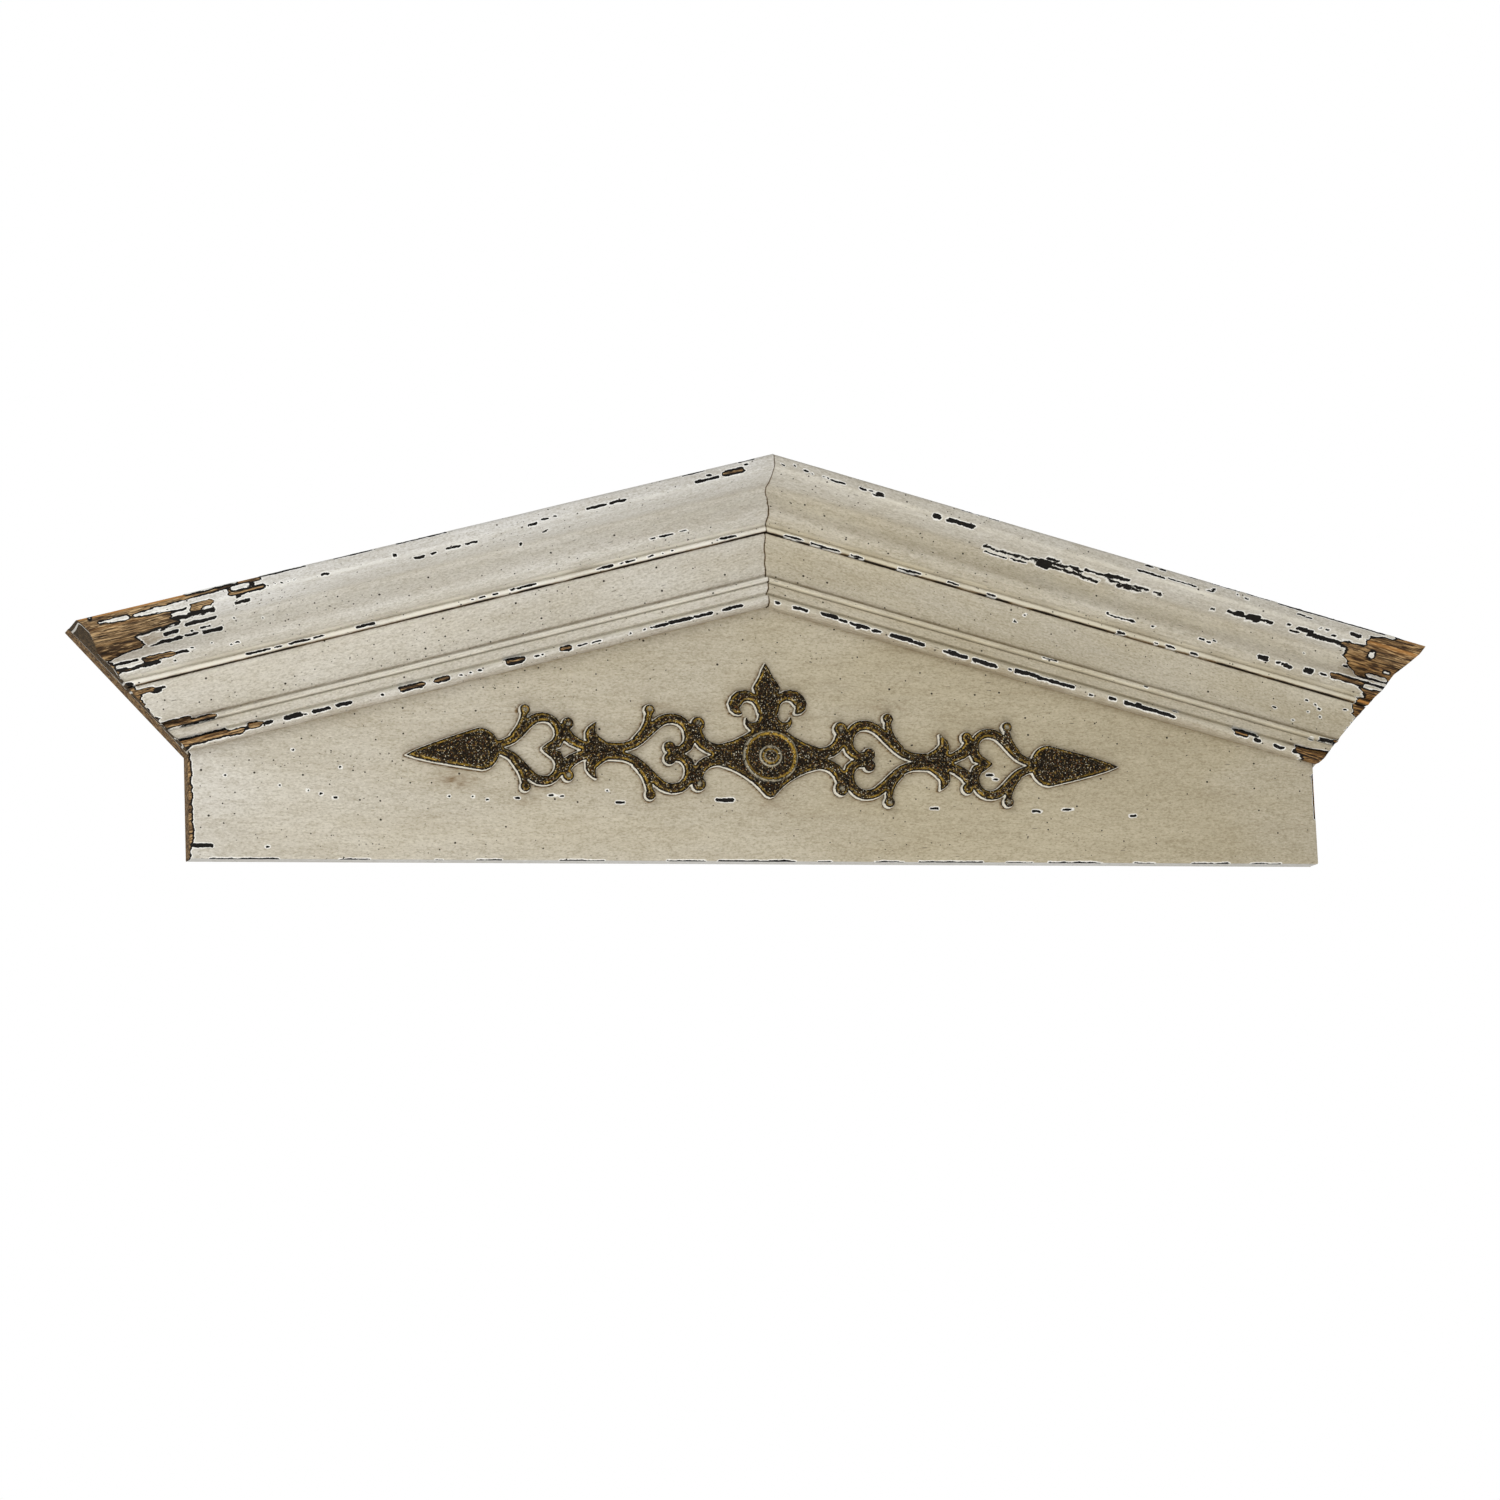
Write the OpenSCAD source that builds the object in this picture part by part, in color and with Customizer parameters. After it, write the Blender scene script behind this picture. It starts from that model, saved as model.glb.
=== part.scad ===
// Door pediment: a flat gabled board, two raking crown mouldings over two raking
// casing mouldings, all mitred at the apex, and one flat cast scroll ornament.
// Millimetres. +X to the right, +Z up, the front faces -Y.
// The origin lies on the back face, midway between the two hanging holes.

/* [Board] */
// Width of the board below the mouldings
board_w = 1010; // [800:5:1300]
// Height from the bottom edge to the apex
pediment_h = 348; // [260:2:460]
// Thickness of the board
board_t = 18; // [15:1:30]
// How far the crown tips reach past the board at each side
overhang = 97.5; // [60:0.5:140]
// Slope of the two rakes, in degrees
rake_angle = 14.6; // [8:0.1:17]
// Slope of the raking ends, in degrees above level
end_angle = 46.9; // [35:0.1:60]

/* [Hanging holes] */
// Distance between the two blind holes in the back
hang_spacing = 400; // [200:10:500]
// How far the holes lie below the apex
hang_drop = 118; // [100:2:150]
// Radius of the holes
hang_r = 4.5; // [3:0.25:6]
// Depth of the holes
hang_depth = 12; // [6:1:13]

/* [Crown moulding] */
// Width of the crown, measured square to the rake
crown_w = 60.5; // [50:0.5:80]
// How far the nose stands out from the board
nose_proj = 45; // [36:0.5:60]
// Height of the blunt nose
nose_h = 14; // [10:0.5:18]
// Rounding of the nose's upper corner
nose_r = 5; // [2:0.5:6]
// Thickness at the bottom of the cove
cove_t = 15.5; // [12:0.5:20]
// How far the belly swells past the cove
belly = 4; // [1:0.5:8]
// Depth of the narrow groove over the bottom band
quirk = 3; // [1:0.5:5]
// Thickness of the bottom band
band_t = 13; // [10:0.5:16]
// Height of the bottom band
band_h = 4.5; // [3:0.5:7]

/* [Casing moulding] */
// Width of the casing, measured square to the rake
casing_w = 62; // [50:0.5:80]
// Thickness of the flat of the casing
fascia_t = 7; // [5:0.5:12]
// Thickness of the thin bead in the middle
bead_t = 12; // [9:0.5:18]
// Height of the thin bead
bead_h = 3.5; // [2:0.5:6]
// Thickness of the stout bead along the lower edge
lip_t = 12.5; // [9:0.5:18]
// Height of the stout bead
lip_h = 8; // [5:0.5:11]
// Gap between the crown and the casing
joint_gap = 0.3; // [0.1:0.1:0.8]

/* [Ornament] */
// Thickness of the flat straps
strap_t = 5.5; // [4:0.5:9]
// How far the middle ribs and knobs stand over the straps
rib_rise = 2; // [1:0.5:4]
// How far the rosette's centre sits below the middle of the free board
ornament_low = 20.55; // [15:0.05:25]
// Sideways place of the rosette's centre
ornament_x = -2; // [-10:0.5:10]
// Turn of the whole ornament, in degrees
ornament_tilt = -1.3; // [-3:0.1:3]
// Lean of the fleur-de-lis, in degrees
fleur_lean = 2.5; // [-4:0.5:4]
// Bend of the left spearhead, in degrees
spear_bend_left = 6.3; // [0:0.1:8]
// Bend of the right spearhead, in degrees
spear_bend_right = 1.2; // [0:0.1:8]
// Half width of the rosette
rosette_rx = 24.5; // [20:0.5:28]
// Half height of the rosette
rosette_rz = 22.2; // [18:0.1:25]
// Length of each spearhead
spear_len = 82; // [50:1:100]
// Half width of each spearhead
spear_half = 18.3; // [10:0.1:24]

/* [Hidden] */
paint = [0.76, 0.74, 0.68];
bronze = [0.23, 0.19, 0.13];
half_w = board_w / 2;
tip_x = half_w + overhang;
slope = tan(rake_angle);
// Heights above the bottom edge of the crown's tip and of the foot of the sloping end
tip_h = pediment_h - slope * tip_x;
foot_h = tip_h - overhang * tan(end_angle);
// Stretches past the ends, cut off again by the gable's outline
spare = 120;
// Height of the holes, and of the rosette's centre in the free board under the casing
hang_h = pediment_h - hang_drop;
free_h = pediment_h - (crown_w + joint_gap + casing_w) / cos(rake_angle);
ornament_h = free_h / 2 - ornament_low;
// Degrees between the points of an arc
step = 7.5;

// Points of an arc about c, from angle a0 to a1
function arc(c, r, a0, a1) =
    let (n = max(2, ceil(abs(a1 - a0) / step)))
    [for (i = [0 : n]) let (a = a0 + (a1 - a0) * i / n) c + r * [cos(a), sin(a)]];

// Points of an ellipse
function ellipse(rx, ry, n = 40) =
    [for (i = [0 : n - 1]) let (a = 360 * i / n) [rx * cos(a), ry * sin(a)]];

// Smooth curve through the given rows, by Catmull-Rom, with n steps from row to row
function row(p, i) = p[max(0, min(len(p) - 1, i))];
function blend(a, b, c, d, t) =
    0.5 * (2 * b + (c - a) * t + (2 * a - 5 * b + 4 * c - d) * t * t
    + (3 * b - a - 3 * c + d) * t * t * t);
function smooth(p, n = 2) = concat(
    [for (i = [0 : len(p) - 2], k = [0 : n - 1])
        blend(row(p, i - 1), p[i], p[i + 1], row(p, i + 2), k / n)],
    [p[len(p) - 1]]);

// ---------------------------------------------------------------- woodwork

// Front outline of one half of the gable, with the mitre at x = 0
module half_gable() {
    polygon([[0, 0], [half_w, 0], [half_w, foot_h], [tip_x, tip_h], [0, pediment_h]]);
}

// Lifts a front outline from the XY plane onto the back face and grows it forwards
module forward(t) {
    rotate([90, 0, 0]) linear_extrude(height = t) children();
}

// Profiles run as [distance out from the board, distance down from the top line]
function crown_profile() = let (
    under_r = 3,
    cove_r = 6.5,
    shoulder_r = 5,
    quirk_h = 2.5,
    cove_y = nose_h + 15,
    quirk_y = crown_w - band_h - quirk_h,
    belly_y = quirk_y - 9,
    steps = 6
) concat(
    [[0, 0]],
    arc([nose_proj - nose_r - 1, nose_r], nose_r, -90, -30),
    arc([nose_proj - under_r, nose_h - 4], under_r, 0, 60),
    [[nose_proj - 7.5, nose_h + 3], [nose_proj - 16.5, nose_h + 7]],
    arc([cove_t + cove_r, cove_y], cove_r, 240, 180),
    [for (i = [1 : steps]) [cove_t + belly * (1 - cos(180 * i / steps)) / 2,
        cove_y + (belly_y - cove_y) * i / steps]],
    arc([cove_t + belly - shoulder_r, belly_y], shoulder_r, 15, 60),
    [[cove_t - 0.5, quirk_y - 2.2], [band_t - quirk, quirk_y], [band_t - quirk, quirk_y + 1]],
    [[band_t, quirk_y + quirk_h], [band_t, crown_w], [0, crown_w]]);

// The casing's profile starts at its own upper edge
function casing_profile() = let (
    flare = 3,
    flare_h = 17,
    bead_r = bead_h / 2,
    lip_r = lip_h / 2,
    ledge_t = fascia_t + 1.5,
    groove_t = fascia_t - 1.5,
    lip_top = casing_w - lip_h - 1,
    bead_y = lip_top - 13.5,
    steps = 6
) concat(
    [[0, 0], [fascia_t + flare, 0]],
    [for (i = [0 : steps]) [fascia_t + flare * pow(1 - i / steps, 2), 1 + flare_h * i / steps]],
    [[fascia_t, bead_y - bead_r - 3], [fascia_t - 2, bead_y - bead_r - 0.5]],
    arc([bead_t - bead_r, bead_y], bead_r, -90, 90),
    [[fascia_t - 1, bead_y + bead_r + 0.5], [ledge_t, bead_y + bead_r + 1.5]],
    [[ledge_t, lip_top - 3], [groove_t, lip_top - 1.5], [groove_t, lip_top]],
    arc([lip_t - lip_r, lip_top + lip_r], lip_r, -90, 90),
    [[lip_t - lip_r, casing_w], [0, casing_w]]);

// A moulding along the right rake, its upper edge `down` below the top line,
// cut to the mitre and to the sloping end
module rake_moulding(profile, down) {
    intersection() {
        translate([0, -board_t, pediment_h])
            rotate([0, rake_angle, 0])
                translate([-spare, 0, -down])
                    rotate([90, 0, 90])
                        linear_extrude(height = tip_x / cos(rake_angle) + 2 * spare)
                            polygon([for (p = profile) [-p[0], -p[1]]]);
        translate([0, -board_t, 0]) forward(2 * nose_proj) half_gable();
    }
}

module to_frame() {
    translate([0, 0, -hang_h]) children();
}

module board() {
    past = 1; // lets the holes' cutters reach out of the back
    color(paint) to_frame() difference() {
        union() {
            forward(board_t) half_gable();
            mirror([1, 0, 0]) forward(board_t) half_gable();
        }
        for (side = [-1, 1])
            translate([side * hang_spacing / 2, past, hang_h])
                rotate([90, 0, 0])
                    cylinder(r = hang_r, h = hang_depth + past, $fn = 48);
    }
}

module crown_right() {
    color(paint) to_frame() rake_moulding(crown_profile(), 0);
}

module crown_left() {
    mirror([1, 0, 0]) crown_right();
}

module casing_right() {
    color(paint) to_frame() rake_moulding(casing_profile(), crown_w + joint_gap);
}

module casing_left() {
    mirror([1, 0, 0]) casing_right();
}

// ---------------------------------------------------------------- ornament

// Strap along a smooth curve: each row is [x, y, width]
module strap(rows, share = 1) {
    least = 0.4; // half width left where a strap runs out to a point
    p = smooth(rows);
    last = len(p) - 1;
    sides = [for (i = [0 : last]) let (
        a = p[max(0, i - 1)],
        b = p[min(last, i + 1)],
        d = [b[0] - a[0], b[1] - a[1]] / norm([b[0] - a[0], b[1] - a[1]])
    ) [-d[1], d[0]] * max(least, p[i][2] * share / 2)];
    polygon(concat(
        [for (i = [0 : last]) [p[i][0], p[i][1]] + sides[i]],
        [for (i = [last : -1 : 0]) [p[i][0], p[i][1]] - sides[i]]));
}

// The straps of the upper right quarter; the lower quarter mirrors it
stem = [[12, 17, 14], [25, 11, 9], [36, 6, 9], [47, 4.6, 10], [56, 7, 10.5], [62.5, 13, 11],
    [65.5, 22, 10]];
heart = [[88, 4, 7], [80, 3, 8], [73, 7.5, 10], [71.3, 15, 9.5], [74, 23.5, 9], [80, 29, 9],
    [88, 30.3, 9], [96, 28, 9], [104, 21.5, 9], [112, 14, 9], [120, 7.5, 8.5], [130, 4, 8],
    [144, 3.8, 8]];
heart_stalk = [[120, 10, 6], [112.5, 17.5, 7], [108.5, 26, 6.5], [107, 34, 6.5]];
leaf = [[143, 3, 8], [153, 6.5, 12], [158.3, 12.5, 11.5], [157.8, 18.5, 7.5], [154, 24.5, 1]];
tie = [[146, 3, 7], [158, 3.5, 7.5], [166, 4.4, 8.8], [172, 7, 9.5], [177.5, 10.5, 10.5], [181.5, 17, 9]];
small_heart = [[202, 0.4, 1], [196, 2.6, 5.5], [188.5, 5.2, 10], [186, 13, 8.5], [188.5, 21, 8],
    [194, 26, 8], [201, 27.2, 8.4], [208, 25.3, 8.5], [214.5, 19.8, 8.5], [221, 12.5, 8],
    [228, 6.8, 8], [236, 3.4, 7], [243, 2.6, 6.5]];
small_stalk = [[227, 10, 5.5], [220.5, 18, 6.5], [217.5, 25.5, 6], [216.5, 31, 6]];
// Round knobs as [x, y, radius]
knobs = [[64, 26, 6.3], [89.5, 4.9, 5.4], [107, 36.5, 4.8], [179, 22.3, 5.2], [216.3, 33, 4.6]];

module quarter_straps(share) {
    for (rows = [stem, heart, heart_stalk, leaf, tie, small_heart, small_stalk]) strap(rows, share);
}

module round_knobs() {
    for (k = knobs) translate([k[0], k[1]]) circle(r = k[2], $fn = 18);
}

module both_quarters() {
    children();
    mirror([0, 1]) children();
}

// Web between the rosette and the stems, down to the point below it
module web() {
    edge = smooth([[4, -34.5], [9, -29], [15, -23.5], [23, -18], [33, -13], [44, -9.7]]);
    polygon(concat([[0, -36]], edge, [[44, 9.7], [33, 13], [23, 18], [15, 23], [0, 24]]));
}

// Spearhead, growing along +x from its neck
module spear(share = 1) {
    round_len = 17;
    blade = spear_len - round_len;
    fullness = 0.8; // bows the blade's edges outwards
    centre = 0.42; // where along the blade the raised field shrinks to
    steps = 8;
    edge = concat(
        [for (i = [0 : steps]) let (a = 90 * i / steps)
            [round_len * (1 - cos(a)), spear_half * sin(a)]],
        [for (i = [1 : steps])
            [round_len + blade * i / steps, spear_half * pow(1 - i / steps, fullness)]]);
    translate([spear_len * (1 - share) * centre, 0]) scale(share) polygon(concat(edge,
        [for (i = [len(edge) - 2 : -1 : 1]) [edge[i][0], -edge[i][1]]]));
}

// Fleur-de-lis: the middle petal, and the right petal and hook
module fleur_petal(share = 1) {
    waist = 56; // height of the petal's widest place above the rosette's centre
    rise = 7.2; // lifts the raised field so that it stays inside the petal
    edge = smooth([[0, 25.5], [3.2, 21], [5.2, 16], [8.8, 10], [12.3, 4.5], [11, 0], [7.5, -9],
        [6, -20], [7, -34]]);
    translate([0, waist + rise * (1 - share)]) scale(share) polygon(concat(
        edge, [for (i = [len(edge) - 1 : -1 : 1]) [-edge[i][0], edge[i][1]]]));
}
side_petal = [[5.5, 38, 8], [8.5, 47.5, 8], [16, 52.8, 9], [24.5, 52, 11.5], [29.8, 45, 12],
    [27.5, 39.5, 7], [23.5, 37.5, 1.5]];
side_hook = [[4.5, 46, 6], [5.5, 34, 7], [9, 27.5, 8], [15.5, 26.5, 7.5], [19.3, 30, 4.5],
    [20, 34, 1]];

module fleur_sides(share) {
    for (side = [0, 1]) mirror([side, 0]) {
        strap(side_petal, share);
        strap(side_hook, share);
    }
}

// Places the pieces of the ornament that lean or bend by themselves
module leaning() {
    root = 20; // height of the point it leans about
    translate([0, root]) rotate(fleur_lean) translate([0, -root]) children();
}
module at_neck(side) {
    neck = 238;
    bend = side < 0 ? spear_bend_left : spear_bend_right;
    translate([side * neck, 0]) rotate(bend) mirror([side < 0 ? 1 : 0, 0]) children();
}

// Whole front outline at the strap level
module strap_level() {
    rosette_flange = 0.6;
    for (side = [0, 1]) mirror([side, 0]) {
        web();
        both_quarters() {
            quarter_straps(1);
            round_knobs();
        }
    }
    polygon(ellipse(rosette_rx + rosette_flange, rosette_rz + rosette_flange));
    for (side = [-1, 1]) at_neck(side) spear();
    leaning() fleur_petal();
    leaning() fleur_sides(1);
}

// Raised middle ribs, knobs, spear fields and petals
module rib_level() {
    rib_share = 0.36;
    field_share = 0.8;
    petal_share = 0.6;
    for (side = [0, 1]) mirror([side, 0]) both_quarters() {
        quarter_straps(rib_share);
        round_knobs();
    }
    for (side = [-1, 1]) at_neck(side) spear(field_share);
    leaning() fleur_petal(petal_share);
    leaning() fleur_sides(rib_share);
}

module ring(share_out, share_in) {
    difference() {
        polygon(ellipse(rosette_rx * share_out, rosette_rz * share_out));
        polygon(ellipse(rosette_rx * share_in, rosette_rz * share_in));
    }
}

module ornament() {
    soften = 0.4; // closes the slivers where straps meet
    boss_r = 5.5;
    color(bronze) to_frame()
        translate([ornament_x, -board_t, ornament_h]) rotate([0, -ornament_tilt, 0]) {
            forward(strap_t) offset(delta = -soften) offset(delta = 2 * soften) strap_level();
            forward(strap_t + rib_rise) offset(delta = soften / 2) rib_level();
            forward(strap_t + rib_rise) polygon(ellipse(rosette_rx, rosette_rz));
            forward(strap_t + 2 * rib_rise) ring(1, 0.88);
            forward(strap_t + 1.5 * rib_rise) ring(0.4, 0.33);
            forward(strap_t + 2 * rib_rise) circle(r = boss_r, $fn = 32);
        }
}

board();
crown_left();
crown_right();
casing_left();
casing_right();
ornament();
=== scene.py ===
"""Door pediment: distressed cream woodwork with a dark bronze scroll ornament."""

import math

import bpy
import numpy as np
from mathutils import Matrix, Vector
from mathutils.bvhtree import BVHTree
from mathutils.kdtree import KDTree


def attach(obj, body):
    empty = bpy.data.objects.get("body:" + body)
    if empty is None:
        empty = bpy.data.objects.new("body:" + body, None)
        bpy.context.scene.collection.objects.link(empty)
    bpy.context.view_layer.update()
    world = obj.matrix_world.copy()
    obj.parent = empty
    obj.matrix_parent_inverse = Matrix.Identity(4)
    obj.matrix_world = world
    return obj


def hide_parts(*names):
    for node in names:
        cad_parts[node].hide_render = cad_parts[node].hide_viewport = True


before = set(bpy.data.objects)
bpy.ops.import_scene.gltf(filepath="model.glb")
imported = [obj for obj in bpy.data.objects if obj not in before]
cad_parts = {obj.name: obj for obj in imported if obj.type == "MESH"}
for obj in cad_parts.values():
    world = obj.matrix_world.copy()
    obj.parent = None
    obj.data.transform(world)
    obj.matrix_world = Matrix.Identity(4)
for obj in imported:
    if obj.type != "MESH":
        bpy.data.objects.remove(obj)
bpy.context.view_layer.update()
MM = 0.001
# How far a corner may lie off a plane and still count as on it, in mm
FLAT = 0.01

# ---- sizes read from the frame, in mm


def node_points(node):
    """All corners of a CAD node as rows of x, y, z in mm."""
    return np.array([v.co[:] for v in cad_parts[node].data.vertices]) / MM


BOARD = node_points("board")
FRONT = BOARD[:, 1].min()
FLOOR_Z = BOARD[:, 2].min()
APEX_Z = BOARD[:, 2].max()
TIP_X = BOARD[:, 0].max()
TIP_Z = BOARD[np.argmax(BOARD[:, 0]), 2]
HALF_W = BOARD[BOARD[:, 2] < FLOOR_Z + FLAT][:, 0].max()
FOOT_Z = BOARD[abs(BOARD[:, 0] - HALF_W) < FLAT][:, 2].max()
RAKE = math.atan2(APEX_Z - TIP_Z, TIP_X)
COS_R = math.cos(RAKE)
SIN_R = math.sin(RAKE)
SLOPE = (APEX_Z - TIP_Z) / TIP_X
# Where the casing ends, down from the gable's edge
CASING_FOOT = 122.8


def rake_to_row(side, u, down, out):
    """Points at u along the rake, down square to it and out from the board, as x, y, z in mm."""
    x = side * (u * COS_R - down * SIN_R)
    return np.stack([x, FRONT - out, APEX_Z - u * SIN_R - down * COS_R], axis=-1)


def mitre_u(down):
    """Where the mitre plane x = 0 lies along the rake."""
    return down * SIN_R / COS_R


def end_u(down):
    """Where the sloping end lies along the rake."""
    slope = (TIP_Z - FOOT_Z) / (TIP_X - HALF_W)
    top = slope * TIP_X + APEX_Z - TIP_Z
    return (top - down * (COS_R - slope * SIN_R)) / (SIN_R + slope * COS_R)


def rim_of(loops):
    """The directed edges (a, b) that no other loop runs along the other way."""
    rim = {}
    for loop in loops:
        for a, b in zip(loop, loop[1:] + loop[:1]):
            if (b, a) in rim:
                del rim[(b, a)]
            else:
                rim[(a, b)] = True
    return list(rim)


def flat_rim(node, is_flat, pair):
    """Rim of a node's faces that pass is_flat at each corner, with its corners as pairs in mm."""
    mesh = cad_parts[node].data
    faces = [[mesh.vertices[i].co / MM for i in face.vertices] for face in mesh.polygons]
    return rim_of([[pair(c) for c in face] for face in faces if all(is_flat(c) for c in face)])


def mitre_profile(node):
    """A moulding's section at the mitre, as rows (out, down) in mm round its front side."""
    rim = flat_rim(node, lambda c: abs(c.x) < FLAT,
                   lambda c: (round(FRONT - c.y, 3), round((APEX_Z - c.z) * COS_R, 3)))
    after = dict(rim)
    top = min((k for k in after if k[0] < FLAT), key=lambda k: k[1])
    loop = [top]
    while after[loop[-1]] != top:
        loop.append(after[loop[-1]])
    if loop[1][0] < FLAT:
        loop = [loop[0]] + loop[:0:-1]
    return np.array(loop)


def footprint(node):
    """Outline of a node where it lies on the board, as pairs of (x, z)."""
    return flat_rim(node, lambda c: abs(c.y - FRONT) < FLAT,
                    lambda c: (round(c.x, 3), round(c.z, 3)))


# ---- small tools


LATTICE = 256


def smooth_noise(a, b, seed):
    """Smooth noise between -1 and 1 at the places a, b, with cells one unit wide."""
    table = np.random.default_rng(seed).uniform(-1, 1, (LATTICE + 1, LATTICE + 1))
    ia = np.floor(a).astype(int)
    ib = np.floor(b).astype(int)
    fa = a - ia
    fb = b - ib
    fa = fa * fa * (3 - 2 * fa)
    fb = fb * fb * (3 - 2 * fb)

    def at(i, j):
        return table[(ia + i) % LATTICE, (ib + j) % LATTICE]

    low = at(0, 0) * (1 - fa) + at(1, 0) * fa
    high = at(0, 1) * (1 - fa) + at(1, 1) * fa
    return low * (1 - fb) + high * fb


def layered_noise(a, b, seed):
    """Two layers of smooth noise."""
    return smooth_noise(a, b, seed) * 0.65 + smooth_noise(a * 2.3, b * 2.3, seed + 1) * 0.35


def ramp(x, low, high):
    """Smooth step from 0 at low to 1 at high."""
    t = np.clip((x - low) / (high - low), 0, 1)
    return t * t * (3 - 2 * t)


# Small chips stay dark inside, dirt with painted shade under the paint's edge; those over TALL show a
# thin streak of wood, and those over TALLEST or past NEAR_END a wide one
SHALLOW = 0.8
STREAK_DEPTH = 1.7
TALL = 4.7
TALLEST = 7
NEAR_END = 500
THIN_STREAK = 0.8
WIDE_STREAK = 2.4
# How far off a chip is felt, and the depth beyond that
CHIP_REACH = 12
FAR_OUTSIDE = -9.0
# Wear of bare wood and of sound paint
BARE = 4.0
PAINTED = -6.0


def chip_depth(a, b, chips):
    """How deep each place lies inside the nearest chip, in mm; negative outside.
    Each chip is (start, end, middle, height), along a and across b."""
    best = np.full(a.shape, FAR_OUTSIDE)
    for start, end, middle, height in chips:
        near = (a > start - CHIP_REACH) & (a < end + CHIP_REACH)
        if not near.any():
            continue
        half = min(height, end - start) * 0.5
        da = abs(a[near] - (start + end) / 2) - (end - start) / 2 + half
        db = abs(b[near] - middle) - height / 2 + half
        outside = np.hypot(np.maximum(da, 0), np.maximum(db, 0))
        depth = np.minimum(half - outside - np.minimum(np.maximum(da, db), 0), SHALLOW)
        if height > TALL:
            wide = WIDE_STREAK if height > TALLEST or start > NEAR_END else THIN_STREAK
            streak = np.exp(-((b[near] - middle) / wide) ** 2)
            depth += STREAK_DEPTH * ramp(depth, 0.6, SHALLOW) * streak
        best[near] = np.maximum(best[near], depth)
    return best


def bell(reach):
    """Bell-shaped weights over reach places to each side, with the sum one."""
    weights = np.exp(-np.linspace(-2, 2, 2 * reach + 1) ** 2)
    return weights / weights.sum()


def line_of(points, x):
    """Straight runs through the given (x, y) rows."""
    xs, ys = zip(*points)
    return np.interp(x, xs, ys)


def new_mesh(name, points, faces, attributes, smooth=True):
    """A mesh object from rows in mm; attributes are {name: one number or three a point}."""
    mesh = bpy.data.meshes.new(name)
    mesh.from_pydata((np.asarray(points) * MM).tolist(), [], faces)
    for key, values in attributes.items():
        values = np.asarray(values, dtype=float)
        kind = "FLOAT_VECTOR" if values.ndim == 2 else "FLOAT"
        field = "vector" if values.ndim == 2 else "value"
        layer = mesh.attributes.new(key, kind, "POINT")
        layer.data.foreach_set(field, values.ravel())
    mesh.polygons.foreach_set("use_smooth", [smooth] * len(mesh.polygons))
    mesh.validate()
    mesh.update()
    obj = bpy.data.objects.new(name, mesh)
    bpy.context.collection.objects.link(obj)
    return obj


def grid_faces(rows, cols, offset=0, flip=False):
    """Quads of a grid of points stored row by row."""
    i, j = np.meshgrid(np.arange(rows - 1), np.arange(cols - 1), indexing="ij")
    a = (i * cols + j).ravel() + offset
    quads = np.stack([a, a + 1, a + cols + 1, a + cols], axis=1)
    if flip:
        quads = quads[:, ::-1]
    return quads.tolist()


# ---- worn places on the mouldings
# Each side's chips, in mm: (start, end) along the rake from the apex, middle and height across it.

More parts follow.
